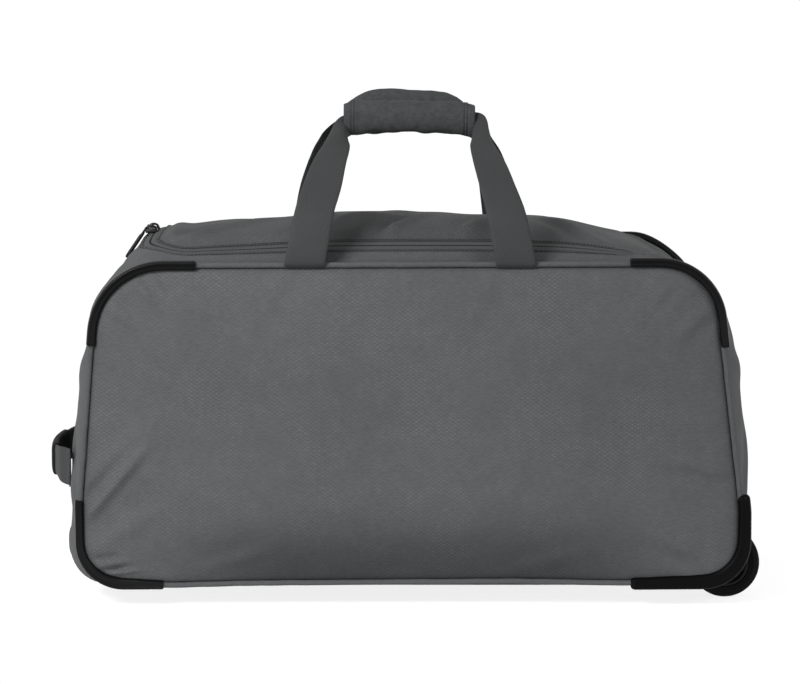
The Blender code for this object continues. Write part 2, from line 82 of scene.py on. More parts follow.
_P = fillet_path(CORNERS)
_seg = np.linalg.norm(np.roll(_P, -1, 0) - _P, axis=1)
_cum = np.concatenate([[0], np.cumsum(_seg)])
TOTAL = float(_cum[-1])
NT = 6000
_st = np.arange(NT) * TOTAL / NT
_Pw = np.vstack([_P, _P[:1]])
TX, TZ = np.interp(_st, _cum, _Pw[:, 0]), np.interp(_st, _cum, _Pw[:, 1])


def _smooth_table(a, w):
    k = np.hanning(2 * w + 1)
    k /= k.sum()
    return np.convolve(np.concatenate([a[-w:], a, a[:w]]), k, mode='valid')


TX, TZ = _smooth_table(TX, 16), _smooth_table(TZ, 16)
_dx, _dz = np.roll(TX, -8) - np.roll(TX, 8), np.roll(TZ, -8) - np.roll(TZ, 8)
_l = np.hypot(_dx, _dz)
TNX, TNZ = _smooth_table(_dz / _l, 20), _smooth_table(-_dx / _l, 20)
_l = np.hypot(TNX, TNZ)
TNX, TNZ = TNX / _l, TNZ / _l


def at(s):
    f = (np.asarray(s, float) % TOTAL) / TOTAL * NT
    i = np.floor(f).astype(int) % NT
    w = f - np.floor(f)
    j = (i + 1) % NT
    return tuple(t[i] * (1 - w) + t[j] * w for t in (TX, TZ, TNX, TNZ))


def find(test):
    s = np.arange(NT) * TOTAL / NT
    return float(s[int(np.argmin([test(x, z) for x, z in zip(TX, TZ)]))])


def sst(a, b, x):
    t = np.clip((np.asarray(x, float) - a) / (b - a), 0, 1)
    return t * t * (3 - 2 * t)


def run(s0, s1):
    return (s1 - s0) % TOTAL


def bulge(x, z):
    top = sst(0.285, 0.330, z)
    crown = 0.036 * (1 - (np.abs(x) / 0.36) ** 2.4)
    crown = crown * (1 - 0.50 * sst(0.15, 0.275, x)) - 0.0035 * sst(0.06, 0.16, -np.asarray(x)) * sst(-0.240, -0.205, x)
    crown = crown - 0.0150 * sst(0.224, 0.275, x)
    crown = 0.0065 + (np.maximum(crown, 0.003 - 0.009 * sst(0.236, 0.270, x)) - 0.0065) * sst(-0.278, -0.246, x)
    near = sst(0.262, 0.290, -np.asarray(x))
    low = 1 - sst(0.03, 0.15, z) * (1 - near) - sst(0.005, 0.07, z) * near
    side = np.where(np.asarray(x) > 0, 0.0200 * (1 - 0.45 * sst(0.24, 0.30, z)), 0.0182 * (1 - 0.55 * sst(0.20, 0.31, z)))
    return (1 - top) * (side * (1 - low) + 0.003 * low) + top * crown


def fnoise(co, scale, seed=0.0):
    """Smooth noise at each point, seeded by an offset."""
    o = Vector((seed, seed * 1.7 + 3.1, seed * 0.6 - 2.2))
    return np.array([noise.noise(Vector(c) * scale + o) for c in np.asarray(co).reshape(-1, 3)]).reshape(np.asarray(co).shape[:-1])


def sag(x, y, z):
    """How far the rear top corner at the wheel end settles."""
    return 0.0080 * sst(0.245, 0.300, x) * sst(-0.03, 0.15, y) * sst(0.25, 0.30, z)


def dip(x, z):
    """How far the front base seam drops toward the moulded corners."""
    x = np.asarray(x, float)
    return (0.0026 * sst(0.10, 0.225, x) + 0.0015 * sst(0.13, 0.240, -x)) * (1 - sst(0.026, 0.050, z))


def skin(s, y, extra=0.0):
    x, z, nx, nz = at(s)
    v = np.minimum(1.0, np.abs(y) / BAND_Y)
    o = 0.003 + bulge(x, z) * (1 - v ** 3) + extra
    # the handle end's base corner is fuller beside the pull handle
    o = o + 0.0115 * np.exp(-((x + 0.300) / 0.026) ** 2 - ((z - 0.038) / 0.026) ** 2) * sst(0.085, 0.110, np.abs(y)) * (1 - v ** 8)
    xo, yo, zo = x + nx * o, np.broadcast_to(y, np.shape(x * 1.0 + np.asarray(y) * 0)), z + nz * o
    return np.stack([xo, yo, zo - sag(xo, yo, zo)], -1)


# ---------------------------------------------------------------- mesh helpers
def make(name, co, faces, uv=None, mat=None, smooth=True, painted_shade=None):
    me = bpy.data.meshes.new(name)
    me.from_pydata([tuple(c) for c in co], [], faces)
    if uv is not None:
        lay = me.uv_layers.new(name="weave")
        idx = np.empty(len(me.loops), int)
        me.loops.foreach_get("vertex_index", idx)
        lay.data.foreach_set("uv", np.asarray(uv, np.float32)[idx].ravel())
    # painted shade, stored per point for the fabric material
    if painted_shade is not None:
        me.attributes.new("painted_shade", 'FLOAT', 'POINT').data.foreach_set("value", np.asarray(painted_shade, np.float32).ravel())
    if smooth:
        me.shade_smooth()
    ob = bpy.data.objects.new(name, me)
    scene.collection.objects.link(ob)
    if mat:
        me.materials.append(mat)
    return ob


def grid_faces(I, J, wi=False, wj=False, base=0):
    f = []
    for i in range(I if wi else I - 1):
        i2 = (i + 1) % I
        for j in range(J if wj else J - 1):
            j2 = (j + 1) % J
            f.append((base + i * J + j, base + i * J + j2, base + i2 * J + j2, base + i2 * J + j))
    return f


def fix_normals(ob, outward_from=None):
    bm = bmesh.new()
    bm.from_mesh(ob.data)
    bmesh.ops.remove_doubles(bm, verts=bm.verts, dist=2e-6)
    bmesh.ops.recalc_face_normals(bm, faces=bm.faces)
    bm.to_mesh(ob.data)
    bm.free()


def flip_if(ob, direction):
    """Turn an open sheet so that its mean normal points along direction(co)."""
    me = ob.data
    n = np.empty(len(me.polygons) * 3)
    c = np.empty(len(me.polygons) * 3)
    me.polygons.foreach_get("normal", n)
    me.polygons.foreach_get("center", c)
    d = direction(c.reshape(-1, 3))
    if (n.reshape(-1, 3) * d).sum() < 0:
        me.flip_normals()


def solidify(ob, thick, offset=-1.0, inner=None):
    m = ob.modifiers.new("thickness", 'SOLIDIFY')
    m.thickness, m.offset, m.use_even_offset = thick, offset, False
    m.use_rim = True
    if inner is not None:
        ob.data.materials.append(inner)
        m.material_offset = 1
        m.material_offset_rim = 0
    return m


def apply_mods(ob):
    dg = bpy.context.evaluated_depsgraph_get()
    dg.update()
    me = bpy.data.meshes.new_from_object(ob.evaluated_get(dg))
    old = ob.data
    ob.modifiers.clear()
    ob.data = me
    bpy.data.meshes.remove(old)
    return ob


def tube(name, path, r, sides, mat, closed=False, up=None, squash=(1, 1), cap=True, taper=None, uvscale=1.0):
    """Round or oval tube along points; up gives the section's second axis."""
    path = np.asarray(path, float)
    n = len(path)
    t = np.roll(path, -1, 0) - np.roll(path, 1, 0) if closed else np.gradient(path, axis=0)
    t /= np.linalg.norm(t, axis=1)[:, None]
    up = np.broadcast_to(np.asarray(up if up is not None else (0, 1, 0), float), path.shape)
    b = np.cross(t, up)
    b /= np.linalg.norm(b, axis=1)[:, None]
    u = np.cross(b, t)
    a = np.arange(sides) * 2 * math.pi / sides
    rr = np.broadcast_to(np.asarray(r, float), (n,))
    if taper is not None:
        rr = rr * taper
    co = path[:, None] + rr[:, None, None] * (b[:, None] * np.cos(a)[None, :, None] * squash[0] + u[:, None] * np.sin(a)[None, :, None] * squash[1])
    L = np.concatenate([[0], np.cumsum(np.linalg.norm(np.diff(path, axis=0), axis=1))])
    uv = np.stack([np.broadcast_to(L[:, None], (n, sides)), np.broadcast_to(a[None] * np.mean(rr), (n, sides))], -1)
    f = grid_faces(n, sides, wi=closed, wj=True)
    if not closed and cap:
        f.append(tuple(range(sides))[::-1])
        f.append(tuple((n - 1) * sides + k for k in range(sides)))
    ob = make(name, co.reshape(-1, 3), f, uv.reshape(-1, 2), mat)
    fix_normals(ob)
    return ob


def catmull(pts, per):
    pts = np.asarray(pts, float)
    P = np.vstack([2 * pts[0] - pts[1], pts, 2 * pts[-1] - pts[-2]])
    out = []
    for i in range(1, len(P) - 2):
        for k in range(per):
            t = k / per
            p0, p1, p2, p3 = P[i - 1], P[i], P[i + 1], P[i + 2]
            out.append(0.5 * ((2 * p1) + (-p0 + p2) * t + (2 * p0 - 5 * p1 + 4 * p2 - p3) * t * t + (-p0 + 3 * p1 - 3 * p2 + p3) * t ** 3))
    out.append(P[-2])
    return np.array(out)


def lathe_y(name, prof, cx, cz, segs, mat, closed=True):
    """Turn a profile of (radius, y) about an axis along Y."""
    prof = np.asarray(prof, float)
    a = np.arange(segs) * 2 * math.pi / segs
    co = np.stack([cx + prof[None, :, 0] * np.cos(a)[:, None], np.broadcast_to(prof[None, :, 1], (segs, len(prof))),
                   cz + prof[None, :, 0] * np.sin(a)[:, None]], -1)
    ob = make(name, co.reshape(-1, 3), grid_faces(segs, len(prof), wi=True, wj=closed), None, mat)
    fix_normals(ob)
    return ob


def box_bm(x0, x1, y0, y1, z0, z1):
    bm = bmesh.new()
    bmesh.ops.create_cube(bm, size=1)
    for v in bm.verts:
        v.co = Vector((x0 + (v.co.x + .5) * (x1 - x0), y0 + (v.co.y + .5) * (y1 - y0), z0 + (v.co.z + .5) * (z1 - z0)))
    return bm


def from_bm(name, bm, mat, smooth=True):
    me = bpy.data.meshes.new(name)
    bmesh.ops.recalc_face_normals(bm, faces=bm.faces)
    bm.to_mesh(me)
    bm.free()
    if smooth:
        me.shade_smooth()
    ob = bpy.data.objects.new(name, me)
    scene.collection.objects.link(ob)
    if mat:
        me.materials.append(mat)
    return ob


def bevel(ob, w, seg=3, angle=30):
    m = ob.modifiers.new("bevel", 'BEVEL')
    m.width, m.segments, m.limit_method, m.angle_limit = w, seg, 'ANGLE', math.radians(angle)
    m.harden_normals = False
    return ob


def cut(ob, cutter_bm, op='DIFFERENCE'):
    c = from_bm("cutter_tmp", cutter_bm, None)
    m = ob.modifiers.new("cut", 'BOOLEAN')
    m.operation, m.solver, m.object = op, 'EXACT', c
    apply_mods(ob)
    me = c.data
    bpy.data.objects.remove(c, do_unlink=True)
    bpy.data.meshes.remove(me)
    return ob


# ---------------------------------------------------------------- materials
class N:
    """Small node-graph builder."""

    def __init__(self, name):
        self.m = bpy.data.materials.new(name)
        self.m.use_nodes = True
        self.t = self.m.node_tree
        self.b = self.t.nodes["Principled BSDF"]

    def new(self, kind, **kw):
        n = self.t.nodes.new(kind)
        for k, v in kw.items():
            setattr(n, k, v)
        return n

    def link(self, a, b):
        self.t.links.new(a, b)

    def math(self, op, a, b=None, c=None, clamp=False):
        n = self.new("ShaderNodeMath", operation=op, use_clamp=clamp)
        for i, v in enumerate((a, b, c)):
            if v is None:
                continue
            if isinstance(v, (int, float)):
                n.inputs[i].default_value = v
            else:
                self.link(v, n.inputs[i])
        return n.outputs[0]

    def noise(self, vec, scale, detail=2, rough=0.5):
        n = self.new("ShaderNodeTexNoise")
        n.inputs["Scale"].default_value = scale
        n.inputs["Detail"].default_value = detail
        n.inputs["Roughness"].default_value = rough
        self.link(vec, n.inputs["Vector"])
        return n.outputs["Fac"]

    def ramp(self, fac, stops):
        n = self.new("ShaderNodeValToRGB")
        e = n.color_ramp.elements
        while len(e) < len(stops):
            e.new(0.5)
        for el, (p, c) in zip(e, stops):
            el.position = p
            el.color = (*c, 1) if len(c) == 3 else c
        self.link(fac, n.inputs["Fac"])
        return n.outputs["Color"]

    def rng(self, v, a, b, c, d):
        n = self.new("ShaderNodeMapRange")
        self.link(v, n.inputs["Value"])
        for k, x in zip(("From Min", "From Max", "To Min", "To Max"), (a, b, c, d)):
            n.inputs[k].default_value = x
        return n.outputs["Result"]

    def mix(self, fac, a, b, mode='MIX'):
        n = self.new("ShaderNodeMix", data_type='RGBA', blend_type=mode)
        if isinstance(fac, (int, float)):
            n.inputs[0].default_value = fac
        else:
            self.link(fac, n.inputs[0])
        for i, v in ((6, a), (7, b)):
            if isinstance(v, tuple):
                n.inputs[i].default_value = (*v, 1)
            else:
                self.link(v, n.inputs[i])
        return n.outputs[2]

    def bump(self, height, strength, dist, normal=None):
        n = self.new("ShaderNodeBump")
        n.inputs["Strength"].default_value = strength
        n.inputs["Distance"].default_value = dist
        self.link(height, n.inputs["Height"])
        if normal is not None:
            self.link(normal, n.inputs["Normal"])
        return n.outputs["Normal"]

    def uv(self, scale=(1, 1, 1)):
        u = self.new("ShaderNodeUVMap", uv_map="weave")
        m = self.new("ShaderNodeMapping")
        m.inputs["Scale"].default_value = scale
        self.link(u.outputs["UV"], m.inputs["Vector"])
        return m.outputs["Vector"]

    def obj(self):
        return self.new("ShaderNodeTexCoord").outputs["Object"]

    def sep(self, vec):
        n = self.new("ShaderNodeSeparateXYZ")
        self.link(vec, n.inputs[0])
        return n.outputs


def srgb(v):
    v = v / 255.0
    return v / 12.92 if v <= 0.04045 else ((v + 0.055) / 1.055) ** 2.4


def fabric_mat(name, lum, cell=(0.0054, 0.0038), contrast=0.30, depth=0.00026, tint=(0.965, 1.0, 1.03), mottle=0.0):
    """Dobby-woven polyester: staggered raised flecks over fine threads; a painted-shade attribute darkens the colour at
    seams, grooves and other shaded spots.
    """
    g = N(name)
    base = srgb(lum)
    u, v, _ = g.sep(g.uv((1, 1, 1)))
    o = g.obj()
    warp = g.noise(g.uv((120, 120, 1)), 1.0, 1, 0.5)
    uu = g.math('ADD', g.math('MULTIPLY', u, 2 * math.pi / cell[0]), g.math('MULTIPLY', warp, 0.8))
    vv = g.math('MULTIPLY', v, 2 * math.pi / cell[1])
    p = g.math('MULTIPLY', g.math('COSINE', uu), g.math('COSINE', vv))
    fleck = g.math('POWER', g.math('MAXIMUM', p, 0.0), 1.4)
    patchy = g.rng(g.noise(o, 15.0, 3, 0.65), 0.36, 0.66, 0.10, 1.35)
    single = g.rng(g.noise(g.uv((230, 300, 1)), 1.0, 0, 0.5), 0.3, 0.75, 0.35, 1.5)
    fl = g.math('MULTIPLY', g.math('MULTIPLY', fleck, patchy), single)
    big = g.noise(o, 6.0, 3, 0.55)
    mid = g.noise(o, 60.0, 3, 0.6)
    fine = g.noise(g.uv((2600, 1500, 1)), 1.0, 1, 0.5)
    tone = g.math('MULTIPLY_ADD', fl, contrast, 1 - contrast * 0.15)
    tone = g.math('MULTIPLY', tone, g.rng(big, 0.25, 0.75, 0.94, 1.06))
    tone = g.math('MULTIPLY', tone, g.rng(mid, 0.3, 0.7, 0.96, 1.04))
    tone = g.math('MULTIPLY', tone, g.rng(fine, 0.3, 0.7, 0.90, 1.10))
    dash = g.noise(g.uv((170, 560, 1)), 1.0, 1, 0.5)
    tone = g.math('MULTIPLY', tone, g.rng(dash, 0.34, 0.66, 0.93, 1.07))
    if mottle:
        tone = g.math('MULTIPLY', tone, g.rng(g.noise(o, 190.0, 3, 0.6), 0.35, 0.65, 1 - mottle, 1 + mottle))
    # painted shade: the attribute darkens the base colour at seams, grooves and shaded spots
    painted_shade_node = g.new("ShaderNodeAttribute", attribute_name="painted_shade")
    tone = g.math('MULTIPLY', tone, g.math('SUBTRACT', 1.0, g.math('MULTIPLY', painted_shade_node.outputs["Fac"], 0.80)))
    g.link(g.mix(1.0, tuple(base * k for k in tint), tone, 'MULTIPLY'), g.b.inputs["Base Color"])
    g.link(g.rng(fl, 0, 1, 0.90, 0.70), g.b.inputs["Roughness"])
    nrm = g.bump(fine, 0.25, 0.0001)
    nrm = g.bump(p, 0.40, depth, nrm)
    g.link(nrm, g.b.inputs["Normal"])
    g.b.inputs["Sheen Weight"].default_value = 0.05
    g.b.inputs["Sheen Roughness"].default_value = 0.5
    g.b.inputs["Specular IOR Level"].default_value = 0.3
    return g.m


def webbing_mat(name, lum, rib=0.0020, across='Y', contrast=0.30):
    """Ribbed webbing: cords along the length with a fine chevron of picks across them."""
    g = N(name)
    base = srgb(lum)
    x, y, _ = g.sep(g.uv((1, 1, 1)))
    ribs = g.math('ABSOLUTE', g.math('SINE', g.math('MULTIPLY', y, math.pi / rib)))
    zig = g.math('ABSOLUTE', g.math('SUBTRACT', g.math('FRACT', g.math('MULTIPLY', y, 0.5 / rib)), 0.5))
    pick = g.math('SINE', g.math('ADD', g.math('MULTIPLY', x, 2 * math.pi / 0.0016), g.math('MULTIPLY', zig, 12.0)))
    h = g.math('ADD', g.math('MULTIPLY', ribs, 0.7), g.math('MULTIPLY', pick, 0.22))
    o = g.obj()
    big = g.noise(o, 14.0, 3, 0.6)
    fine = g.noise(o, 900.0, 2, 0.5)
    tone = g.math('MULTIPLY', g.rng(h, -0.2, 0.9, 1 - contrast, 1 + contrast * 0.35), g.rng(big, 0.3, 0.7, 0.93, 1.07))
    tone = g.math('MULTIPLY', tone, g.rng(fine, 0.3, 0.7, 0.92, 1.08))
    g.link(g.mix(1.0, (base * 0.965, base, base * 1.03), tone, 'MULTIPLY'), g.b.inputs["Base Color"])
    g.link(g.rng(h, -0.2, 0.9, 0.85, 0.66), g.b.inputs["Roughness"])
    g.link(g.bump(h, 0.6, 0.0003), g.b.inputs["Normal"])
    g.b.inputs["Sheen Weight"].default_value = 0.04
    g.b.inputs["Specular IOR Level"].default_value = 0.35
    return g.m


def plastic_mat(name, lum, rough=0.42, grain=1400.0, bump=0.25, wear=0.5, spec=0.22):
    """Moulded plastic with a fine spark-eroded grain and slightly polished edges."""
    g = N(name)
    base = srgb(lum)
    o = g.obj()
    gr = g.noise(o, grain, 2, 0.6)
    big = g.noise(o, 22.0, 4, 0.6)
    scr = g.noise(o, 160.0, 3, 0.7)
    geo = g.new("ShaderNodeNewGeometry")
    edge = g.rng(geo.outputs["Pointiness"], 0.50, 0.60, 0.0, 1.0)
    tone = g.math('MULTIPLY', g.rng(big, 0.3, 0.7, 0.85, 1.15), g.rng(gr, 0.3, 0.7, 0.9, 1.1))
    tone = g.math('ADD', tone, g.math('MULTIPLY', g.math('MULTIPLY', edge, scr), wear))
    g.link(g.mix(1.0, (base, base, base * 1.04), tone, 'MULTIPLY'), g.b.inputs["Base Color"])
    r = g.math('ADD', g.rng(big, 0.3, 0.7, rough - 0.05, rough + 0.06), g.rng(scr, 0.35, 0.7, -0.03, 0.05))
    g.link(r, g.b.inputs["Roughness"])
    g.link(g.bump(gr, bump, 0.00012), g.b.inputs["Normal"])
    g.b.inputs["Specular IOR Level"].default_value = spec
    return g.m


def rubber_mat(name, lum):
    g = N(name)
    base = srgb(lum)
    o = g.obj()
    big = g.noise(o, 40.0, 4, 0.65)
    fine = g.noise(o, 700.0, 2, 0.6)
    g.link(g.ramp(big, [(0.3, (base * 0.8,) * 3), (0.7, (base * 1.5, base * 1.5, base * 1.45))]), g.b.inputs["Base Color"])
    g.link(g.rng(big, 0.3, 0.7, 0.55, 0.75), g.b.inputs["Roughness"])
    g.link(g.bump(fine, 0.3, 0.0002), g.b.inputs["Normal"])
    g.b.inputs["Specular IOR Level"].default_value = 0.12
    return g.m


def alloy_mat(name, lum, rough=0.3):
    """Drawn tube: fine lines along its length."""
    g = N(name)
    m = g.new("ShaderNodeMapping")
    m.inputs["Scale"].default_value = (6, 900, 900)
    g.link(g.obj(), m.inputs["Vector"])
    ln = g.noise(m.outputs["Vector"], 1.0, 3, 0.6)
    base = srgb(lum)
    g.link(g.ramp(ln, [(0.3, (base * 0.85,) * 3), (0.7, (base * 1.08,) * 3)]), g.b.inputs["Base Color"])
    g.link(g.rng(ln, 0.3, 0.7, rough - 0.06, rough + 0.1), g.b.inputs["Roughness"])
    g.b.inputs["Metallic"].default_value = 1.0
    g.link(g.bump(ln, 0.08, 0.0001), g.b.inputs["Normal"])
    return g.m


def thread_mat(name, lum):
    g = N(name)
    base = srgb(lum)
    n = g.noise(g.obj(), 1500.0, 1, 0.5)
    g.link(g.ramp(n, [(0.3, (base * 0.7,) * 3), (0.7, (base * 1.2,) * 3)]), g.b.inputs["Base Color"])
    g.b.inputs["Roughness"].default_value = 0.8
    return g.m


M_FAB = fabric_mat("fabric_grey", 90)
# one fabric in three tones: the gusset and lid copies are darker, painted shade for how the light falls on them
M_GUS_SHADED = fabric_mat("fabric_gusset_shaded", 84)
M_LID_SHADED = fabric_mat("fabric_lid_shaded", 80)
M_LIN = fabric_mat("lining_dark", 46, cell=(0.0012, 0.0012), contrast=0.10, depth=0.00008)
M_PIP = fabric_mat("piping_cover", 86, cell=(0.0016, 0.0016), contrast=0.15, depth=0.0001)
M_WEB = webbing_mat("webbing_grey", 61)
M_SLV = fabric_mat("grip_wrap", 68, cell=(0.0024, 0.0018), contrast=0.30, depth=0.00015, mottle=0.14)
M_TAPE = webbing_mat("zip_tape", 78, rib=0.0011, contrast=0.2)
M_BLK = plastic_mat("moulded_black", 15, 0.34, spec=0.16)
M_HOUS = plastic_mat("housing_black", 9, 0.48, grain=900.0, spec=0.07)
M_HUB = plastic_mat("hub_black", 16, 0.5)
M_ZIP = plastic_mat("zip_coil", 26, 0.45, grain=2500.0)
M_SLD = plastic_mat("slider_painted", 18, 0.3, grain=2500.0, bump=0.1, spec=0.45)
M_TYRE = rubber_mat("tyre_rubber", 10)
M_GRIPB = plastic_mat("side_grip_black", 13, 0.62, grain=700.0, bump=0.5)
M_TROL = plastic_mat("pull_grip", 52, 0.5, grain=1100.0)
M_ALU = alloy_mat("tube_alloy", 200)
M_STEEL = alloy_mat("axle_steel", 185, 0.25)
M_THR = thread_mat("thread", 60)
M_THRD = thread_mat("thread_dark", 30)
M_RAIL = plastic_mat("rail_grey", 62, 0.6, grain=900.0)
M_BOARD = plastic_mat("board_cover", 42, 0.7, grain=500.0, bump=0.4, wear=0.1)

# ---------------------------------------------------------------- stations
S_LEFT_TOP = find(lambda x, z: abs(z - 0.268) + (9 if x > 0 else 0))
S_LEFT_BOT = find(lambda x, z: abs(x + 0.262) + (9 if z > 0.1 else 0))
S_BASE_END = find(lambda x, z: abs(x - 0.2760) + (9 if z > 0.1 else 0))
S_CORNER_END = find(lambda x, z: abs(z - 0.0860) + (9 if x < 0 else 0))
S_RIGHT_TOP = find(lambda x, z: abs(z - 0.290) + (9 if x < 0 else 0))


# ---------------------------------------------------------------- soft surface detail
FOLD = 1.6


def crease(x, z, a, b, amp, width, side=0.6):
    """A soft fold along the line a to b: a ridge with a shallow valley beside it."""
    a, b = np.array(a), np.array(b)
    d = b - a
    L = np.linalg.norm(d)
    d = d / L
    px, pz = x - a[0], z - a[1]
    t = (px * d[0] + pz * d[1]) / L
    u = px * -d[1] + pz * d[0]
    env = sst(-0.15, 0.25, t) * (1 - sst(0.55, 1.15, t))
    return FOLD * amp * env * (np.exp(-(u / width) ** 2) - side * np.exp(-((u - 1.7 * width) / (1.3 * width)) ** 2))


def face_panel(name, side):
    """Front or rear panel: tight at the seam, bellied, with soft folds."""
    NTT = 84
    xs = np.linspace(-0.16, 0.165, 116)
    tab = np.arange(NT) * TOTAL / NT
    up = (TZ > 0.20) & (np.abs(TX) < 0.24)
    dn = (TZ < 0.12) & (np.abs(TX) < 0.24)
    s_up = np.interp(xs, TX[up][::-1], tab[up][::-1])
    s_dn = np.interp(xs, TX[dn], tab[dn])
    r0, r1 = s_dn[-1], s_up[-1]
    l0, l1 = s_up[0], s_dn[0] + (TOTAL if s_dn[0] < s_up[0] else 0)
    s = np.concatenate([s_dn, np.linspace(r0, r1, 152)[1:-1], s_up[::-1], np.linspace(l0, l1, 152)[1:-1]])
    NS = len(s)
    px, pz, nx, nz = at(s)
    if side < 0:
        pz = pz - dip(px, pz)
    t = 1 - (np.linspace(0, 1, NTT) ** 1.35)
    cx = np.clip(px, -0.16, 0.165)
    cz = np.full_like(cx, 0.178)
    X = cx[:, None] + (px - cx)[:, None] * t[None]
    Z = cz[:, None] + (pz - cz)[:, None] * t[None]
    R = np.hypot(px - cx, pz - cz)[:, None]
    d = (1 - t)[None] * R                      # distance in from the seam
    S = np.broadcast_to(s[:, None], X.shape)
    f = 0.0032 * (1 - np.exp(-d / 0.0045)) + 0.0165 * (1 - t[None] ** 2.6)
    # puckers along the seam, stronger near the moulded corners
    co = np.stack([X, np.full_like(X, side * 0.3), Z], -1)
    cornerness = np.clip((np.abs(X) - 0.20) / 0.11, 0, 1) * np.clip((np.abs(Z - 0.18) - 0.07) / 0.08, 0, 1)
    pk = np.array([noise.noise(Vector((a * 34.0, 7.3 * side, 0.0))) for a in s])[:, None]
    pk2 = np.array([noise.noise(Vector((a * 75.0, 3.3 * side, 5.0))) for a in s])[:, None]
    f = f + (0.0011 + 0.0030 * cornerness) * pk * np.exp(-d / 0.022) * (1 - np.exp(-d / 0.004))
    f = f + (0.0005 + 0.0014 * cornerness) * pk2 * np.exp(-d / 0.011) * (1 - np.exp(-d / 0.003))
    # slack over the whole panel
    f = f + 0.0030 * fnoise(co * np.array([1, 1, 1.5]), 7.0, 1.0 + side) * sst(0.0, 0.06, d)
    f = f + 0.0010 * fnoise(co * np.array([1, 1, 1.3]), 21.0, 4.0 + side) * sst(0.0, 0.03, d)
    if side < 0:
        for a, b, amp, w in (((-0.311, 0.086), (-0.246, 0.162), 0.0046, 0.0062), ((-0.304, 0.120), (-0.236, 0.190), 0.0020, 0.0110),
                             ((-0.305, 0.056), (-0.225, 0.104), 0.0017, 0.0090), ((-0.300, 0.040), (-0.270, 0.046), 0.0034, 0.0030),
                             ((-0.290, 0.033), (-0.258, 0.036), 0.0026, 0.0026), ((-0.262, 0.326), (-0.236, 0.298), 0.0020, 0.0042),
                             ((-0.246, 0.330), (-0.228, 0.304), 0.0016, 0.0036), ((-0.284, 0.300), (-0.258, 0.276), 0.0014, 0.0055),
                             ((0.320, 0.130), (0.262, 0.150), 0.0020, 0.0065), ((0.302, 0.295), (0.262, 0.262), 0.0011, 0.0070),
                             ((0.268, 0.325), (0.240, 0.292), 0.0008, 0.0050), ((0.290, 0.050), (0.240, 0.078), 0.0016, 0.0070),
                             ((-0.112, 0.334), (-0.15, 0.262), 0.0006, 0.0085), ((-0.072, 0.334), (-0.045, 0.270), 0.0005, 0.0080),
                             ((0.132, 0.334), (0.17, 0.262), 0.0006, 0.0085), ((0.093, 0.334), (0.065, 0.275), 0.0005, 0.0080),
                             ((-0.20, 0.036), (-0.12, 0.060), 0.0012, 0.0075), ((0.10, 0.034), (0.19, 0.058), 0.0012, 0.0080)):
            f = f + crease(X, Z, a, b, amp, w) * sst(0.0, 0.010, d)
        # the belly turns under along the middle of the base
        zb = Z - 0.026
        f = f + 0.0135 * sst(0.0, 0.056, zb) * (1 - sst(0.05, 0.26, zb)) * (1 - sst(0.10, 0.27, np.abs(X - 0.005)))
    else:
        for a, b, amp, w in (((-0.312, 0.098), (-0.240, 0.130), 0.0035, 0.0090), ((0.318, 0.100), (0.255, 0.145), 0.0034, 0.0085),
                             ((-0.270, 0.318), (-0.226, 0.280), 0.0026, 0.0070), ((0.300, 0.300), (0.25, 0.27), 0.0026, 0.0075),
                             ((0.10, 0.33), (0.16, 0.26), 0.0020, 0.011)):
            f = f + crease(X, Z, a, b, amp, w) * sst(0.0, 0.012, d)
    Y = side * (SEAM_Y - 0.0006 + f)
    painted_base_shade = 0.62 * (1 - sst(0.0, 0.095, Z - 0.026)) * (1 - sst(0.12, 0.29, np.abs(X - 0.025)))     # painted shade along the middle of the base, where the belly turns under
    if side > 0:
        Z = Z - sag(X, 0.155, Z)
    co = np.stack([X, Y, Z], -1)
    uv = np.stack([X, Z], -1)
    # painted shade: a dark line along the seam and the shaded middle of the base
    ob = make(name, co.reshape(-1, 3), grid_faces(NS, NTT, wi=True), uv.reshape(-1, 2), M_FAB, painted_shade=np.maximum(np.exp(-d / 0.0016), painted_base_shade))
    bm = bmesh.new()
    bm.from_mesh(ob.data)
    bmesh.ops.remove_doubles(bm, verts=bm.verts, dist=1e-5)
    bm.to_mesh(ob.data)
    bm.free()
    flip_if(ob, lambda c: np.array([0, side, 0]))
    solidify(ob, 0.0022, -1, M_LIN)
    return ob


front = face_panel("front_panel_fabric", -1)
rear = face_panel("rear_panel_fabric", 1)


def gusset_fold(S, Y, co, seed, amp=1.0):
    """Slack and seam puckers of the gusset, in metres outward."""
    v = np.clip(np.abs(Y) / BAND_Y, 0, 1)
    e = (1 - v) * BAND_Y
    pk = np.array([noise.noise(Vector((a * 38.0, seed, 0.0))) for a in S[:, 0]])[:, None]
    pk2 = np.array([noise.noise(Vector((a * 38.0, seed + 9.1, 2.0))) for a in S[:, 0]])[:, None]
    h = 0.0022 * np.where(Y < 0, pk, pk2) * np.exp(-e / 0.03) * (1 - np.exp(-e / 0.006))
    h = h + 0.0028 * fnoise(co, 9.0, seed) * sst(0.0, 0.05, e)
    h = h + 0.0010 * fnoise(co, 26.0, seed + 3) * sst(0.0, 0.03, e)
    return h * amp - 0.0026 * np.exp(-e / 0.0042)


def sewn_ends(h, S, Y, s0, L):
    """Let neighbouring pieces meet in a shallow sewn groove at their ends; also returns the groove's depth from 0 to 1,
    used for painted shade in the groove.
    """
    fixed = -0.0026 * np.exp(-(1 - np.clip(np.abs(Y) / BAND_Y, 0, 1)) * BAND_Y / 0.0042)
    e = np.minimum(np.abs(S - s0), np.abs(s0 + L - S))
    return fixed + (h - fixed) * sst(0.0, 0.016, e) - 0.0009 * np.exp(-(e / 0.0026) ** 2), np.exp(-e / 0.0013)


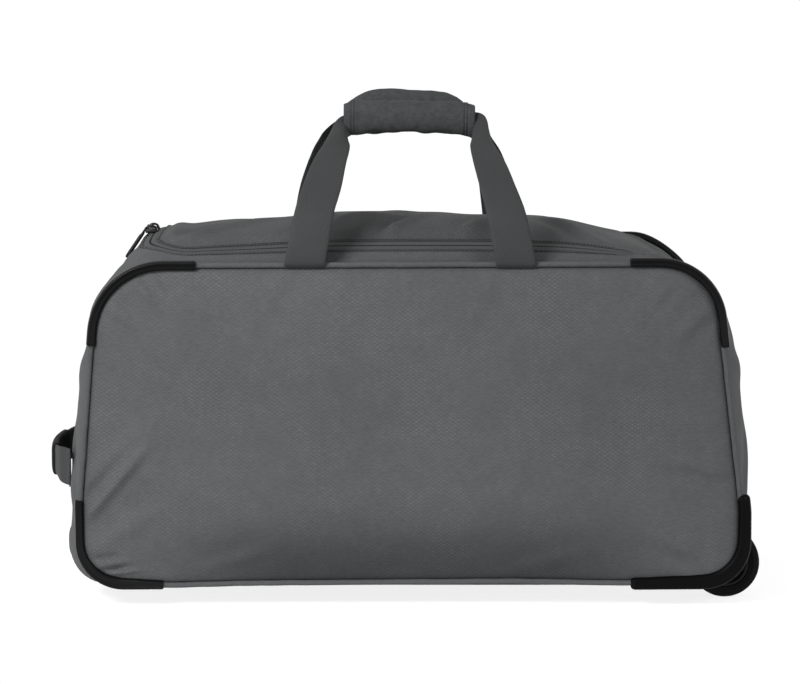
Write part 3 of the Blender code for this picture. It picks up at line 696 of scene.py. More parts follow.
def band_piece(name, s0, s1, y0, y1, mat, seed, step=0.0038, extra=None, keep=None, amp=1.0):
    L = run(s0, s1)
    I, J = int(L / step) + 2, int((y1 - y0) / step) + 2
    s = s0 + np.linspace(0, L, I)
    y = np.linspace(y0, y1, J)
    if y1 > BAND_Y - 1e-6:                     # the cut edge turns in under the piping
        y = np.concatenate([[-SEAM_Y + 0.0004], y, [SEAM_Y - 0.0004]])
        J += 2
    S, Y = np.meshgrid(s, y, indexing='ij')
    co = skin(S, Y)
    h = gusset_fold(S, Y, co, seed, amp)
    if extra is not None:
        h = h + extra(co, S, Y)
    h, groove = sewn_ends(h, S, Y, s0, L)
    co = skin(S, Y, h)
    faces = grid_faces(I, J)
    if keep is not None:
        c = co.reshape(-1, 3)
        faces = [f for f in faces if keep(c[list(f)].mean(0))]
    # painted shade along the piping seams and in the sewn grooves at the ends
    painted_shade = np.maximum(np.exp(-np.clip(BAND_Y - np.abs(Y), 0, 1) / 0.0020), 0.55 * groove)
    ob = make(name, co.reshape(-1, 3), faces, np.stack([S, Y], -1).reshape(-1, 2), mat, painted_shade=painted_shade)
    bm = bmesh.new()
    bm.from_mesh(ob.data)
    bmesh.ops.delete(bm, geom=[v for v in bm.verts if not v.link_faces], context='VERTS')
    bm.to_mesh(ob.data)
    bm.free()
    flip_if(ob, lambda c: c - np.array([0, 0, 0.17]))
    solidify(ob, 0.0022, -1, M_LIN)
    return ob


def end_folds(co, S, Y):
    x, y, z = co[..., 0], co[..., 1], co[..., 2]
    h = crease(y, z, (-0.14, 0.25), (0.0, 0.20), 0.0014, 0.012) + crease(y, z, (0.13, 0.10), (0.02, 0.16), 0.0022, 0.012)
    h = h + crease(y, z, (-0.13, 0.09), (-0.05, 0.17), 0.0018, 0.010) + crease(y, z, (0.12, 0.27), (0.04, 0.22), 0.0020, 0.010)
    # pulled in under the grab handle's sewn ends
    for sy in (-1, 1):
        h = h - 0.0018 * np.exp(-((y - sy * 0.09) / 0.016) ** 2 - ((z - 0.126) / 0.026) ** 2) * (x < 0)
    return h


handle_end = band_piece("handle_end_fabric", S_LEFT_TOP, S_LEFT_BOT, -BAND_Y, BAND_Y, M_GUS_SHADED, 11.0, extra=end_folds, amp=0.6,
                        keep=lambda c: not (abs(c[1]) < 0.0835 and c[2] < 0.0772))
base = band_piece("base_fabric", S_LEFT_BOT, S_BASE_END, -BAND_Y, BAND_Y, M_GUS_SHADED, 21.0, amp=0.4)
corner = band_piece("base_corner_fabric", S_BASE_END, S_CORNER_END, -0.0795, 0.0795, M_GUS_SHADED, 31.0, amp=0.4)
wheel_end = band_piece("wheel_end_fabric", S_CORNER_END, S_RIGHT_TOP, -BAND_Y, BAND_Y, M_GUS_SHADED, 41.0, extra=end_folds, amp=0.6)

# ---------------------------------------------------------------- top panel and lid
LID_RIGHT = 0.256


def u_sd(x, y, off, xr):
    """Signed distance to the U-shaped opening, negative inside."""
    off = off * (1 - sst(0.218, 0.244, x))
    xl, yh, r = ZIP_XL - off, ZIP_Y + off, ZIP_R + off
    qx, qy = xl + r - x, np.abs(y) - (yh - r)
    d = np.where((qx > 0) & (qy > 0), np.hypot(qx, qy) - r, np.maximum(qx, qy) - r)
    return np.maximum(d, x - xr)


def top_piece(name, off, inside, mat, seed, xr, step=0.0034):
    L = run(S_RIGHT_TOP, S_LEFT_TOP)
    I, J = int(L / step) + 2, int(2 * BAND_Y / step) + 2
    s = S_RIGHT_TOP + np.linspace(0, L, I)
    y = np.concatenate([[-SEAM_Y + 0.0004], np.linspace(-BAND_Y, BAND_Y, J), [SEAM_Y - 0.0004]])
    J += 2
    S, Y = np.meshgrid(s, y, indexing='ij')
    S, Y = S.copy(), Y.copy()
    for _ in range(3):
        co = skin(S, Y)
        sd = u_sd(co[..., 0], co[..., 1], off, xr)
        e = 1e-4
        gx = (u_sd(co[..., 0] + e, co[..., 1], off, xr) - sd) / e
        gy = (u_sd(co[..., 0], co[..., 1] + e, off, xr) - sd) / e
        m = np.abs(sd) < step * 0.56
        S = np.where(m, S + sd * gx, S)
        Y = np.where(m, np.clip(Y - sd * gy, -BAND_Y, BAND_Y), Y)
    co = skin(S, Y)
    sd = u_sd(co[..., 0], co[..., 1], off, xr)
    x, yy = co[..., 0], co[..., 1]
    h = gusset_fold(S, Y, co, seed, 0.9)
    edge = np.abs(u_sd(x, yy, off, 9.0)) + 0.05 * sst(0.226, 0.246, x)
    # lid slack: soft cross folds and a padded roll towards the zip
    plan = np.stack([x, yy, np.zeros_like(x)], -1)
    h = h + 0.0022 * fnoise(plan * np.array([1.0, 0.55, 1]), 12.0, 8.0) * sst(0.0, 0.03, edge) * np.where(x < 0.18, (sd < 0) * 1.0, 1 - sst(0.18, 0.24, x))
    for a, b, amp, w in (((-0.018, -0.118), (0.032, -0.03), 0.0046, 0.0075), ((-0.222, -0.11), (-0.12, -0.02), 0.0034, 0.010), ((-0.10, -0.12), (-0.02, -0.02), 0.0035, 0.012),
                         ((0.06, -0.115), (0.12, -0.02), 0.0035, 0.011), ((0.20, -0.11), (0.14, -0.01), 0.0035, 0.010),
                         ((-0.23, 0.11), (-0.13, 0.02), 0.0010, 0.010), ((0.18, 0.11), (0.10, 0.02), 0.0008, 0.011),
                         ((-0.06, 0.12), (0.02, 0.03), 0.0008, 0.012), ((0.235, -0.13), (0.285, -0.06), 0.0030, 0.008),
                         ((0.235, 0.13), (0.285, 0.06), 0.0030, 0.008), ((-0.275, -0.12), (-0.265, -0.04), 0.0022, 0.008)):
        h = h + 0.85 * crease(x, yy, a, b, amp, 0.8 * w) * sst(0.0, 0.018, edge)
    h = h * sst(0.0, 0.013, edge)                                  # held flat where it is sewn to the zip tape
    if inside:                                                     # the lid swells up from the zip, slack towards the front
        h = h + 0.0036 * fnoise(plan * np.array([1.0, 0.7, 1]), 17.0, 3.4) * sst(0.004, 0.034, edge) * (1 - sst(-0.06, 0.01, yy)) * (1 - sst(0.16, 0.22, x))
        h = h + np.interp(x, [-0.15, 0.0, 0.13, 0.20, 0.235], [0.0060, 0.0040, 0.0018, 0.0018, 0.0]) * sst(0.0035, 0.019, edge) * (1 - sst(-0.05, 0.03, yy))
        h = h + 0.0028 * np.exp(-((x + 0.231) / 0.011) ** 2) * sst(0.0035, 0.013, edge)
    h = h + 0.0007 * (1 - sst(0.0030, 0.0065, edge))               # turned edge beside the zip
    h = h - 0.0006 * np.exp(-((edge - 0.0088) / 0.0016) ** 2)      # stitched groove
    h, groove = sewn_ends(h, S, Y, S_RIGHT_TOP, L)
    co = skin(S, Y, h)
    sdc = (sd if not inside else -sd)
    F = []
    sdf = sdc.reshape(-1)
    for f in grid_faces(I, J):
        if np.mean(sdf[list(f)]) > 0 and min(sdf[list(f)]) > -step * 0.45:
            F.append(f)
    # painted shade: dark lines at the zip edge, in the sewn grooves and along the piping seams
    painted_shade = np.maximum(np.maximum(0.65 * np.exp(-edge / 0.0012), 0.55 * groove), np.exp(-np.clip(BAND_Y - np.abs(Y), 0, 1) / 0.0020))
    # painted shadow beside the carry straps and painted shade across the middle of the lid's front
    painted_lid_shade = 0.30 * (np.exp(-((x + 0.064) / 0.014) ** 2) + np.exp(-((x - 0.084) / 0.016) ** 2)) + 0.13 * inside * (1 - sst(0.09, 0.15, np.abs(x - 0.015)))
    painted_shade = np.maximum(painted_shade, painted_lid_shade * (1 - sst(-0.05, 0.03, yy)))
    ob = make(name, co.reshape(-1, 3), F, np.stack([S, Y], -1).reshape(-1, 2), mat, painted_shade=painted_shade)
    bm = bmesh.new()
    bm.from_mesh(ob.data)
    bmesh.ops.delete(bm, geom=[v for v in bm.verts if not v.link_faces], context='VERTS')
    bm.to_mesh(ob.data)
    bm.free()
    flip_if(ob, lambda c: np.array([0, 0, 1.0]))
    return ob


top = top_piece("top_fabric", 0.0074, False, M_GUS_SHADED, 51.0, LID_RIGHT)
lid = top_piece("lid_fabric", -0.0066, True, M_LID_SHADED, 51.0, LID_RIGHT)
for o_ in (top, lid):
    solidify(o_, 0.0020, -1, M_LIN)
    apply_mods(o_)
    o_.data.set_sharp_from_angle(angle=math.radians(50))


# ---------------------------------------------------------------- zip
def u_line(off, x_right, step):
    xl, yh, r = ZIP_XL - off, ZIP_Y + off, ZIP_R + off
    pts = [(x_right, -yh)]
    n = int((x_right - (xl + r)) / step)
    pts += [(x_right + (xl + r - x_right) * k / n, -yh) for k in range(1, n + 1)]
    m = max(8, int(r * math.pi / 2 / step))
    pts += [(xl + r + r * math.cos(math.radians(270 - 90 * k / m)), -yh + r + r * math.sin(math.radians(270 - 90 * k / m))) for k in range(1, m + 1)]
    n2 = int(2 * (yh - r) / step)
    pts += [(xl, -yh + r + 2 * (yh - r) * k / n2) for k in range(1, n2 + 1)]
    half = np.array(pts)
    k0 = 1 + n + m
    front_part = half[:k0]
    return np.vstack([half, (front_part * np.array([1, -1]))[::-1][1:]])


_LS = S_RIGHT_TOP + np.linspace(0, run(S_RIGHT_TOP, S_LEFT_TOP), 1400)


def on_top(xy, lift=0.0):
    """Points of a plan line laid on the top skin, with the surface normal."""
    out, nor = [], []
    for x, y in xy:
        c = skin(_LS, np.full_like(_LS, y))
        k = int(np.argmin(np.abs(c[:, 0] - x)))
        e = 0.002
        k1, k2 = max(k - 6, 0), min(k + 6, len(_LS) - 1)
        tx = c[k1] - c[k2]
        yb = np.sign(y) * min(abs(y) + e, BAND_Y - 1e-4) if abs(y) > 1e-6 else e
        c2 = skin(_LS[k:k + 1], np.array([yb]))[0]
        ty = (c2 - c[k]) * (1 if yb > y else -1)
        n = np.cross(tx, ty)
        n /= np.linalg.norm(n)
        if n[2] < 0:
            n = -n
        p = c[k].copy()
        p[0] = x
        out.append(p + n * lift)
        nor.append(n)
    return np.array(out), np.array(nor)


def zip_tape(name, offs, mat):
    rows = []
    for o, lift in offs:
        p, _ = on_top(u_line(o, HINGE_X + 0.004, 0.005), lift)
        rows.append(p)
    n = min(len(r) for r in rows)
    idx = [np.linspace(0, len(r) - 1, n).round().astype(int) for r in rows]
    G = np.stack([r[i] for r, i in zip(rows, idx)], 1)
    L = np.concatenate([[0], np.cumsum(np.linalg.norm(np.diff(G[:, 0], axis=0), axis=1))])
    uv = np.stack([np.broadcast_to(L[:, None], G.shape[:2]), np.broadcast_to(np.array([o for o, _ in offs])[None], G.shape[:2])], -1)
    ob = make(name, G.reshape(-1, 3), grid_faces(*G.shape[:2]), uv.reshape(-1, 2), mat)
    flip_if(ob, lambda c: np.array([0, 0, 1.0]))
    solidify(ob, 0.0007, -1)
    return ob


tape_b = zip_tape("zip_tape_body", [(0.0006, -0.0014), (0.0008, -0.0003), (0.0016, 0.0002), (0.0040, 0.0001), (0.0074, -0.0003), (0.0104, -0.0006)], M_TAPE)
tape_l = zip_tape("zip_tape_lid", [(-0.0006, -0.0014), (-0.0008, -0.0003), (-0.0016, 0.0002), (-0.0040, 0.0001), (-0.0074, -0.0003), (-0.0104, -0.0005)], M_TAPE)


def teeth(name, sign, phase, mat):
    """Coil side: a close row of small rounded loops across the chain's middle."""
    pitch = 0.0021
    line = u_line(sign * 0.0006, HINGE_X - 0.006, 0.0021)
    d = np.concatenate([[0], np.cumsum(np.linalg.norm(np.diff(line, axis=0), axis=1))])
    k = np.arange(phase * pitch, d[-1], pitch)
    xy = np.stack([np.interp(k, d, line[:, 0]), np.interp(k, d, line[:, 1])], -1)
    P, Nn = on_top(xy, -0.0010)
    T = np.gradient(P, axis=0)
    T /= np.linalg.norm(T, axis=1)[:, None]
    W = np.cross(Nn, T)
    co, fa = [], []
    ring = [(-1.0, -0.2), (-0.75, 0.55), (0, 0.85), (0.75, 0.55), (1.0, -0.2), (0, -0.6)]
    for p, n, t, w in zip(P, Nn, T, W):
        b = len(co)
        for u, sc in ((-0.0016, 0.75), (-0.0007, 1.0), (0.0007, 1.0), (0.0016, 0.7)):
            for a, c in ring:
                co.append(p + w * u + t * a * 0.00078 * sc + n * c * 0.00105 * sc)
        for r in range(3):
            for j in range(6):
                fa.append((b + r * 6 + j, b + r * 6 + (j + 1) % 6, b + (r + 1) * 6 + (j + 1) % 6, b + (r + 1) * 6 + j))
        fa.append(tuple(b + j for j in range(6))[::-1])
        fa.append(tuple(b + 18 + j for j in range(6)))
    ob = make(name, np.array(co), fa, None, mat)
    fix_normals(ob)
    return ob


teeth_b = teeth("zip_coil_body", 1, 0.0, M_ZIP)
teeth_l = teeth("zip_coil_lid", -1, 0.5, M_ZIP)


def stitch_line(name, pts, nor, mat, length=0.0030, gap=0.0013, r=0.00030, seed=0):
    """Row of short sewn stitches lying along points on a surface."""
    pts, nor = np.asarray(pts), np.asarray(nor)
    d = np.concatenate([[0], np.cumsum(np.linalg.norm(np.diff(pts, axis=0), axis=1))])
    k = np.arange(gap, d[-1] - length, length + gap)
    ip = lambda q, a: np.stack([np.interp(q, d, a[:, c]) for c in range(3)], -1)
    co, fa = [], []
    A, B, Nn = ip(k, pts), ip(k + length, pts), ip(k + length / 2, nor)
    for a, b, n in zip(A, B, Nn):
        t = b - a
        t = t / max(np.linalg.norm(t), 1e-9)
        w = np.cross(n, t)
        base_i = len(co)
        for f, lift, sc in ((0.0, -0.0003, 0.6), (0.2, 0.0002, 1), (0.8, 0.0002, 1), (1.0, -0.0003, 0.6)):
            c = a + (b - a) * f + n * lift
            for q in range(5):
                an = 2 * math.pi * q / 5
                co.append(c + (w * math.cos(an) + n * math.sin(an)) * r * sc)
        for rr in range(3):
            for q in range(5):
                fa.append((base_i + rr * 5 + q, base_i + rr * 5 + (q + 1) % 5, base_i + (rr + 1) * 5 + (q + 1) % 5, base_i + (rr + 1) * 5 + q))
        fa.append(tuple(base_i + q for q in range(5))[::-1])
        fa.append(tuple(base_i + 15 + q for q in range(5)))
    ob = make(name, np.array(co), fa, None, mat)
    fix_normals(ob)
    return ob


# topstitching in dark thread; the dark thread also stands in for the shadow line where the fabric edge overlaps the zip
# tape
p_, n_ = on_top(u_line(0.0100, HINGE_X - 0.028, 0.004), 0.0006)
stitch_b = stitch_line("zip_stitch_body", p_, n_, M_THRD, gap=0.0006, r=0.00036)
p_, n_ = on_top(u_line(-0.0094, HINGE_X - 0.028, 0.004), 0.0006)
stitch_l = stitch_line("zip_stitch_lid", p_, n_, M_THRD, gap=0.0006, r=0.00036)


# ---------------------------------------------------------------- piping and guards
def outline_tube(name, side, off, fwd, r, mat):
    s = np.arange(420) * TOTAL / 420
    x, z, nx, nz = at(s)
    w = 0.00035 * np.array([noise.noise(Vector((a * 55.0, side * 2.0, 1.0))) for a in s])
    path = np.stack([x + nx * (off + w), np.full_like(x, side * (SEAM_Y + fwd)), z + nz * (off + w)], -1)
    if side > 0:
        path[:, 2] -= sag(path[:, 0], 0.155, path[:, 2])
    else:
        path[:, 2] -= dip(path[:, 0], path[:, 2])
    return tube(name, path, r, 14, mat, closed=True, up=(0, side, 0))


pipe_f = outline_tube("front_piping_cord", -1, 0.0022, 0.0013, 0.0027, M_PIP)
pipe_r = outline_tube("rear_piping_cord", 1, 0.0022, 0.0013, 0.0027, M_PIP)


def guard(name, s0, s1, side, mat, cen, half, swell=None, n=110, ends=(0.84, 0.0016)):
    """Moulded edge guard: D-section with a raised ridge and rounded ends."""
    L = run(s0, s1)
    tip = np.array([0, 0.0004, 0.0010, 0.0020, 0.0034, 0.0050])
    s = s0 + np.concatenate([tip, np.linspace(0.0066, L - 0.0066, n), L - tip[::-1]])
    n = len(s)
    x, z, nx, nz = at(s)
    endd = np.minimum(s - s0, s0 + L - s)
    tp = ends[0] + (1 - ends[0]) * np.sqrt(np.clip(1 - (1 - np.clip(endd / ends[1], 0, 1)) ** 2, 0, 1))
    M = 28
    a = np.arange(M) * 2 * math.pi / M
    ca, sa = np.cos(a), np.sin(a)
    pn = np.sign(ca) * np.abs(ca) ** 0.78
    pf = np.sign(sa) * np.abs(sa) ** 0.78
    ridge = 0.0013 * np.exp(-((a - 1.05) / 0.24) ** 2) - 0.0008 * np.exp(-((a - 1.75) / 0.2) ** 2)       # moulded bead along the front shoulder
    sec_n = cen + (half + ridge * 0.6) * pn
    sec_f = 0.0012 + (0.0060 + ridge) * pf
    c_n, c_f = cen, 0.0010
    o = c_n + (sec_n[None] - c_n) * tp[:, None]
    if swell:                                   # the moulding is deeper round the corner
        gap = np.abs((s - swell[0] + TOTAL / 2) % TOTAL - TOTAL / 2)
        o = o - swell[1] * np.exp(-(gap / swell[2]) ** 2)[:, None] * np.clip(-pn, 0, 1)[None]
    f = c_f + (sec_f[None] - c_f) * tp[:, None]
    co = np.stack([x[:, None] + nx[:, None] * o, side * (SEAM_Y + f), z[:, None] + nz[:, None] * o], -1)
    if side > 0:
        co[..., 2] -= sag(co[..., 0], 0.155, co[..., 2])
    fa = grid_faces(n, M, wj=True)
    fa.append(tuple(range(M)))
    fa.append(tuple((n - 1) * M + q for q in range(M)))
    ob = make(name, co.reshape(-1, 3), fa, None, mat)
    fix_normals(ob)
    return ob


GUARDS = {
    "top_handle_end": (find(lambda x, z: abs(x + 0.199) + (9 if z < 0.2 else 0)), find(lambda x, z: abs(z - 0.258) + (9 if x > 0 else 0))),
    "top_wheel_end": (find(lambda x, z: abs(z - 0.256) + (9 if x < 0 else 0)), find(lambda x, z: abs(x - 0.224) + (9 if z < 0.2 else 0))),
    "base_handle_end": (find(lambda x, z: abs(z - 0.105) + (9 if x > 0 else 0)), find(lambda x, z: abs(x + 0.233) + (9 if z > 0.2 else 0))),
}
S_BEND = find(lambda x, z: abs(x + 0.279) + (9 if z > 0.1 else 0))
S_ARMC = find(lambda x, z: abs(x - 0.312) + (9 if z > 0.1 else 0))
GUARD_SIZE = {"top_handle_end": (0.0022, 0.0047), "top_wheel_end": (0.0040, 0.0045), "base_handle_end": (0.0034, 0.0042, (S_BEND, 0.0040, 0.034))}
S_ARM0 = find(lambda x, z: abs(x - 0.227) + (9 if z > 0.1 else 0))
S_ARM1 = find(lambda x, z: abs(z - 0.110) + (9 if x < 0 else 0))
for key, (g0, g1) in GUARDS.items():
    for tag, side in (("front", -1), ("rear", 1)):
        ob = guard("guard_%s_%s" % (key, tag), g0, g1, side, M_BLK, *GUARD_SIZE[key])
        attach(ob, "bag")
        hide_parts("corner_guard_%s_%s" % (key, tag))


# ---------------------------------------------------------------- wheels and housings
def corner_poly(x0, x1, z0, z1, r, m=24):
    pts = [(x0, z0)]
    for k in range(m + 1):
        a = math.radians(-90 + 90 * k / m)
        pts.append((x1 - r + r * math.cos(a), z0 + r + r * math.sin(a)))
    return pts + [(x1, z1), (x0, z1)]


def prism_y(poly, y0, y1):
    bm = bmesh.new()
    a = [bm.verts.new((x, y0, z)) for x, z in poly]
    b = [bm.verts.new((x, y1, z)) for x, z in poly]
    n = len(poly)
    for i in range(n):
        bm.faces.new((a[i], a[(i + 1) % n], b[(i + 1) % n], b[i]))
    bm.faces.new(a[::-1])
    bm.faces.new(b)
    bmesh.ops.recalc_face_normals(bm, faces=bm.faces)
    return bm


def disc_y(cx, cz, y0, y1, r, seg=64):
    return prism_y([(cx + r * math.cos(2 * math.pi * k / seg), cz + r * math.sin(2 * math.pi * k / seg)) for k in range(seg)], y0, y1)


def span(side, a, b):
    return (side * b, side * a) if side < 0 else (a, b)


for tag, side in (("front", -1), ("rear", 1)):
    ob = guard("wheel_guard_arm_" + tag, S_ARM0, S_ARM1, side, M_HOUS, 0.0057, 0.0060, (S_ARMC, 0.0034, 0.050), n=150, ends=(0.42, 0.0050))
    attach(ob, "bag")
    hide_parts("wheel_guard_" + tag)
    h = from_bm("wheel_housing_shell_" + tag, prism_y(corner_poly(0.2785, 0.3446, 0.0180, 0.0830, 0.037), *span(side, 0.0800, 0.1500)), M_HOUS)
    cut(h, prism_y(corner_poly(0.2000, 0.3405, 0.0222, 0.1200, 0.033), *span(side, 0.1270, 0.1600)))
    cut(h, disc_y(WHEEL_X, WHEEL_R, *span(side, 0.0835, 0.1225), 0.0385))
    cut(h, disc_y(WHEEL_X, WHEEL_R, *span(side, 0.07, 0.1300), 0.0043, 24))
    bevel(h, 0.0008, 2, 40)
    h.data.shade_smooth()
    h.data.set_sharp_from_angle(angle=math.radians(35))
    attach(h, "bag")
    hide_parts("wheel_housing_" + tag)

    # tyre: crowned tread with two grooves and a raised sidewall ring
    w = WHEEL_W / 2
    prof = [(0.0245, -w + 0.0004), (0.0280, -w), (0.0285, -w - 0.0003), (0.0292, -w - 0.0003), (0.0297, -w), (0.0322, -w + 0.0004),
            (0.0337, -w + 0.0014), (0.0345, -w + 0.0032), (0.0348, -0.0062), (0.0340, -0.0056), (0.0340, -0.0046), (0.0349, -0.0040),
            (0.0350, 0.0), (0.0349, 0.0040), (0.0340, 0.0046), (0.0340, 0.0056), (0.0348, 0.0062), (0.0345, w - 0.0032),
            (0.0337, w - 0.0014), (0.0322, w - 0.0004), (0.0297, w), (0.0292, w + 0.0003), (0.0285, w + 0.0003), (0.0280, w), (0.0245, w - 0.0004)]
    ty = lathe_y("tyre_" + tag, [(r, y + side * WHEEL_Y) for r, y in prof], WHEEL_X, WHEEL_R, 128, M_TYRE)
    ty.data.set_sharp_from_angle(angle=math.radians(50))
    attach(ty, "wheel_" + tag)
    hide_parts("wheel_tyre_" + tag)
    # hub: rim, dished web and boss, with five spoke ribs on both faces
    hp = [(0.0046, -0.0110), (0.0085, -0.0110), (0.0090, -0.0105), (0.0092, -0.0062), (0.0205, -0.0058), (0.0208, -0.0112), (0.0214, -0.0116),
          (0.0236, -0.0116), (0.0240, -0.0110), (0.0240, 0.0110), (0.0236, 0.0116), (0.0214, 0.0116), (0.0208, 0.0112), (0.0205, 0.0058),
          (0.0092, 0.0062), (0.0090, 0.0105), (0.0085, 0.0110), (0.0046, 0.0110)]
    hb = lathe_y("hub_" + tag, [(r, y + side * WHEEL_Y) for r, y in hp], WHEEL_X, WHEEL_R, 72, M_HUB)
    bm = bmesh.new()
    bm.from_mesh(hb.data)
    for k in range(5):
        for f in (-1, 1):
            sp = box_bm(0.0086, 0.0212, -0.0022, 0.0022, -0.0022, 0.0022)
            rot = Matrix.Rotation(2 * math.pi * k / 5 + 0.3, 4, 'Y')
            for v in sp.verts:
                q = Vector((v.co.x, v.co.y + f * 0.0078, v.co.z))
                v.co = rot @ q + Vector((WHEEL_X, side * WHEEL_Y, WHEEL_R))
            me_ = bpy.data.meshes.new("sp")
            sp.to_mesh(me_)
            sp.free()
            bm.from_mesh(me_)
            bpy.data.meshes.remove(me_)
    bm.to_mesh(hb.data)
    bm.free()
    bevel(hb, 0.0005, 2, 40)
    hb.data.set_sharp_from_angle(angle=math.radians(35))
    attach(hb, "wheel_" + tag)
    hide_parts("wheel_hub_" + tag)


# ---------------------------------------------------------------- carry handles
def strap_edges(side):
    """Outer and inner edge of the left and right run, base seam first, then up into the grip."""
    if side < 0:
        out_l = [(-0.1125, 0.1572, 0.3345), (-0.1120, 0.1618, 0.3405), (-0.1085, 0.1612, 0.3600), (-0.1030, 0.1540, 0.3880),
                 (-0.0958, 0.1330, 0.4110), (-0.0880, 0.0980, 0.4320), (-0.0775, 0.0620, 0.4490), (-0.0685, 0.0380, 0.4640),
                 (-0.0585, 0.0195, 0.4755), (-0.0450, 0.0140, 0.4775), (-0.0300, 0.0132, 0.4775)]
        in_l = [(-0.0725, 0.1572, 0.3345), (-0.0722, 0.1618, 0.3405), (-0.0690, 0.1612, 0.3600), (-0.0640, 0.1540, 0.3880),
                (-0.0575, 0.1330, 0.4110), (-0.0532, 0.0980, 0.4320), (-0.0500, 0.0600, 0.4470), (-0.0502, 0.0400, 0.4545),
                (-0.0500, 0.0205, 0.4560), (-0.0420, 0.0145, 0.4580), (-0.0300, 0.0132, 0.4590)]
        out_r = [(0.1325, 0.1572, 0.3345), (0.1322, 0.1618, 0.3405), (0.1282, 0.1612, 0.3600), (0.1222, 0.1540, 0.3880),
                 (0.1140, 0.1330, 0.4110), (0.1050, 0.0980, 0.4320), (0.0940, 0.0620, 0.4505), (0.0868, 0.0380, 0.4672),
                 (0.0815, 0.0195, 0.4785), (0.0680, 0.0140, 0.4790), (0.0500, 0.0132, 0.4785)]
        in_r = [(0.0930, 0.1572, 0.3345), (0.0928, 0.1618, 0.3405), (0.0895, 0.1612, 0.3600), (0.0840, 0.1540, 0.3880),
                (0.0780, 0.1330, 0.4110), (0.0730, 0.0980, 0.4320), (0.0700, 0.0600, 0.4470), (0.0700, 0.0400, 0.4545),
                (0.0715, 0.0205, 0.4580), (0.0640, 0.0145, 0.4590), (0.0500, 0.0132, 0.4600)]
    else:
        out_l = [(-0.1170, 0.1572, 0.3345), (-0.1168, 0.1618, 0.3405), (-0.1130, 0.1612, 0.3600), (-0.1080, 0.1540, 0.3880),
                 (-0.1010, 0.1330, 0.4110), (-0.0930, 0.0980, 0.4320), (-0.0850, 0.0620, 0.4480), (-0.0760, 0.0380, 0.4620),
                 (-0.0600, 0.0195, 0.4720), (-0.0450, 0.0140, 0.4755), (-0.0300, 0.0132, 0.4765)]
        in_l = [(-0.0770, 0.1572, 0.3345), (-0.0768, 0.1618, 0.3405), (-0.0735, 0.1612, 0.3600), (-0.0690, 0.1540, 0.3880),
                (-0.0630, 0.1330, 0.4110), (-0.0585, 0.0980, 0.4320), (-0.0545, 0.0600, 0.4450), (-0.0530, 0.0400, 0.4520),
                (-0.0500, 0.0205, 0.4545), (-0.0420, 0.0145, 0.4570), (-0.0300, 0.0132, 0.4580)]
        in_r = [(0.0915, 0.1572, 0.3345), (0.0913, 0.1618, 0.3405), (0.0885, 0.1612, 0.3600), (0.0852, 0.1540, 0.3880),
                (0.0822, 0.1330, 0.4110), (0.0798, 0.0980, 0.4320), (0.0765, 0.0600, 0.4460), (0.0725, 0.0400, 0.4530),
                (0.0660, 0.0205, 0.4550), (0.0560, 0.0145, 0.4570), (0.0450, 0.0132, 0.4580)]
        out_r = [(0.1310, 0.1572, 0.3345), (0.1306, 0.1618, 0.3405), (0.1270, 0.1612, 0.3600), (0.1215, 0.1540, 0.3880),
                 (0.1145, 0.1330, 0.4110), (0.1065, 0.0980, 0.4320), (0.0970, 0.0620, 0.4480), (0.0880, 0.0380, 0.4620),
                 (0.0760, 0.0195, 0.4720), (0.0600, 0.0140, 0.4755), (0.0450, 0.0132, 0.4765)]
    sg = np.array([1, side, 1])
    return [np.array(a) * sg for a in (out_l, in_l, out_r, in_r)]


def strap(name, side):
    """Flat webbing, a continuous run from seam to seam through the grip."""
    out_l, in_l, out_r, in_r = strap_edges(side)
    per = 14
    A = catmull(np.vstack([out_l, out_r[::-1]]), per)
    B = catmull(np.vstack([in_l, in_r[::-1]]), per)
    n = len(A)
    u = np.linspace(0, 2 * len(out_l) - 1, n)
    kk = np.minimum(u, 2 * len(out_l) - 1 - u)
    c = (A + B) / 2
    t = np.gradient(c, axis=0)
    t /= np.linalg.norm(t, axis=1)[:, None]
    w = B - A
    w /= np.linalg.norm(w, axis=1)[:, None]
    h = np.cross(t, w)
    h /= np.linalg.norm(h, axis=1)[:, None]
    for _ in range(4):
        h[1:-1] = (h[:-2] + 2 * h[1:-1] + h[2:]) / 4
    h /= np.linalg.norm(h, axis=1)[:, None]
    # h points away from the bag's middle on the outer face
    if (h[:60, 1] * side).mean() < 0:
        h = -h
    J = 21
    q = np.linspace(-1, 1, J)
    thick = 0.0010
    L = np.concatenate([[0], np.cumsum(np.linalg.norm(np.diff(c, axis=0), axis=1))])
    free = sst(0.6, 2.2, kk)
    # cupped where it gathers into the grip, slack ripples along the free run
    cup = (0.0006 + 0.0060 * np.exp(-((kk - 7.2) / 1.1) ** 2)) * free
    ripple = np.array([noise.noise(Vector((l * 20.0, side * 4.0, 0))) for l in L]) * 0.0022 * free
    edge_w = np.array([noise.noise(Vector((l * 60.0, side * 9.0, 3.0))) for l in L]) * 0.0004
    co = []
    for sgn in (1, -1):
        edge = thick * np.sqrt(np.clip(1 - np.abs(q) ** 10, 0.04, 1)) * sgn
        off = edge[None] - (cup[:, None] * (q[None] ** 2 - 0.3)) + ripple[:, None] * q[None] * 0.6
        f = (q[None, :, None] * (1 + edge_w[:, None, None] * 20) + 1) / 2
        P = A[:, None] * (1 - f) + B[:, None] * f + h[:, None] * off[..., None]
        co.append(P if sgn > 0 else P[:, ::-1])
    G = np.concatenate(co, 1)
    uvy = np.concatenate([q * 0.020, q[::-1] * 0.020])
    uv = np.stack([np.broadcast_to(L[:, None], G.shape[:2]), np.broadcast_to(uvy[None], G.shape[:2])], -1)
    f = grid_faces(n, 2 * J, wj=True)
    f.append(tuple(range(2 * J)))
    f.append(tuple((n - 1) * 2 * J + k for k in range(2 * J)))
    ob = make(name, G.reshape(-1, 3), f, uv.reshape(-1, 2), M_WEB)
    fix_normals(ob)
    return ob, L[-1]


strap_f, LEN_F = strap("carry_webbing_front", -1)
strap_r, LEN_R = strap("carry_webbing_rear", 1)


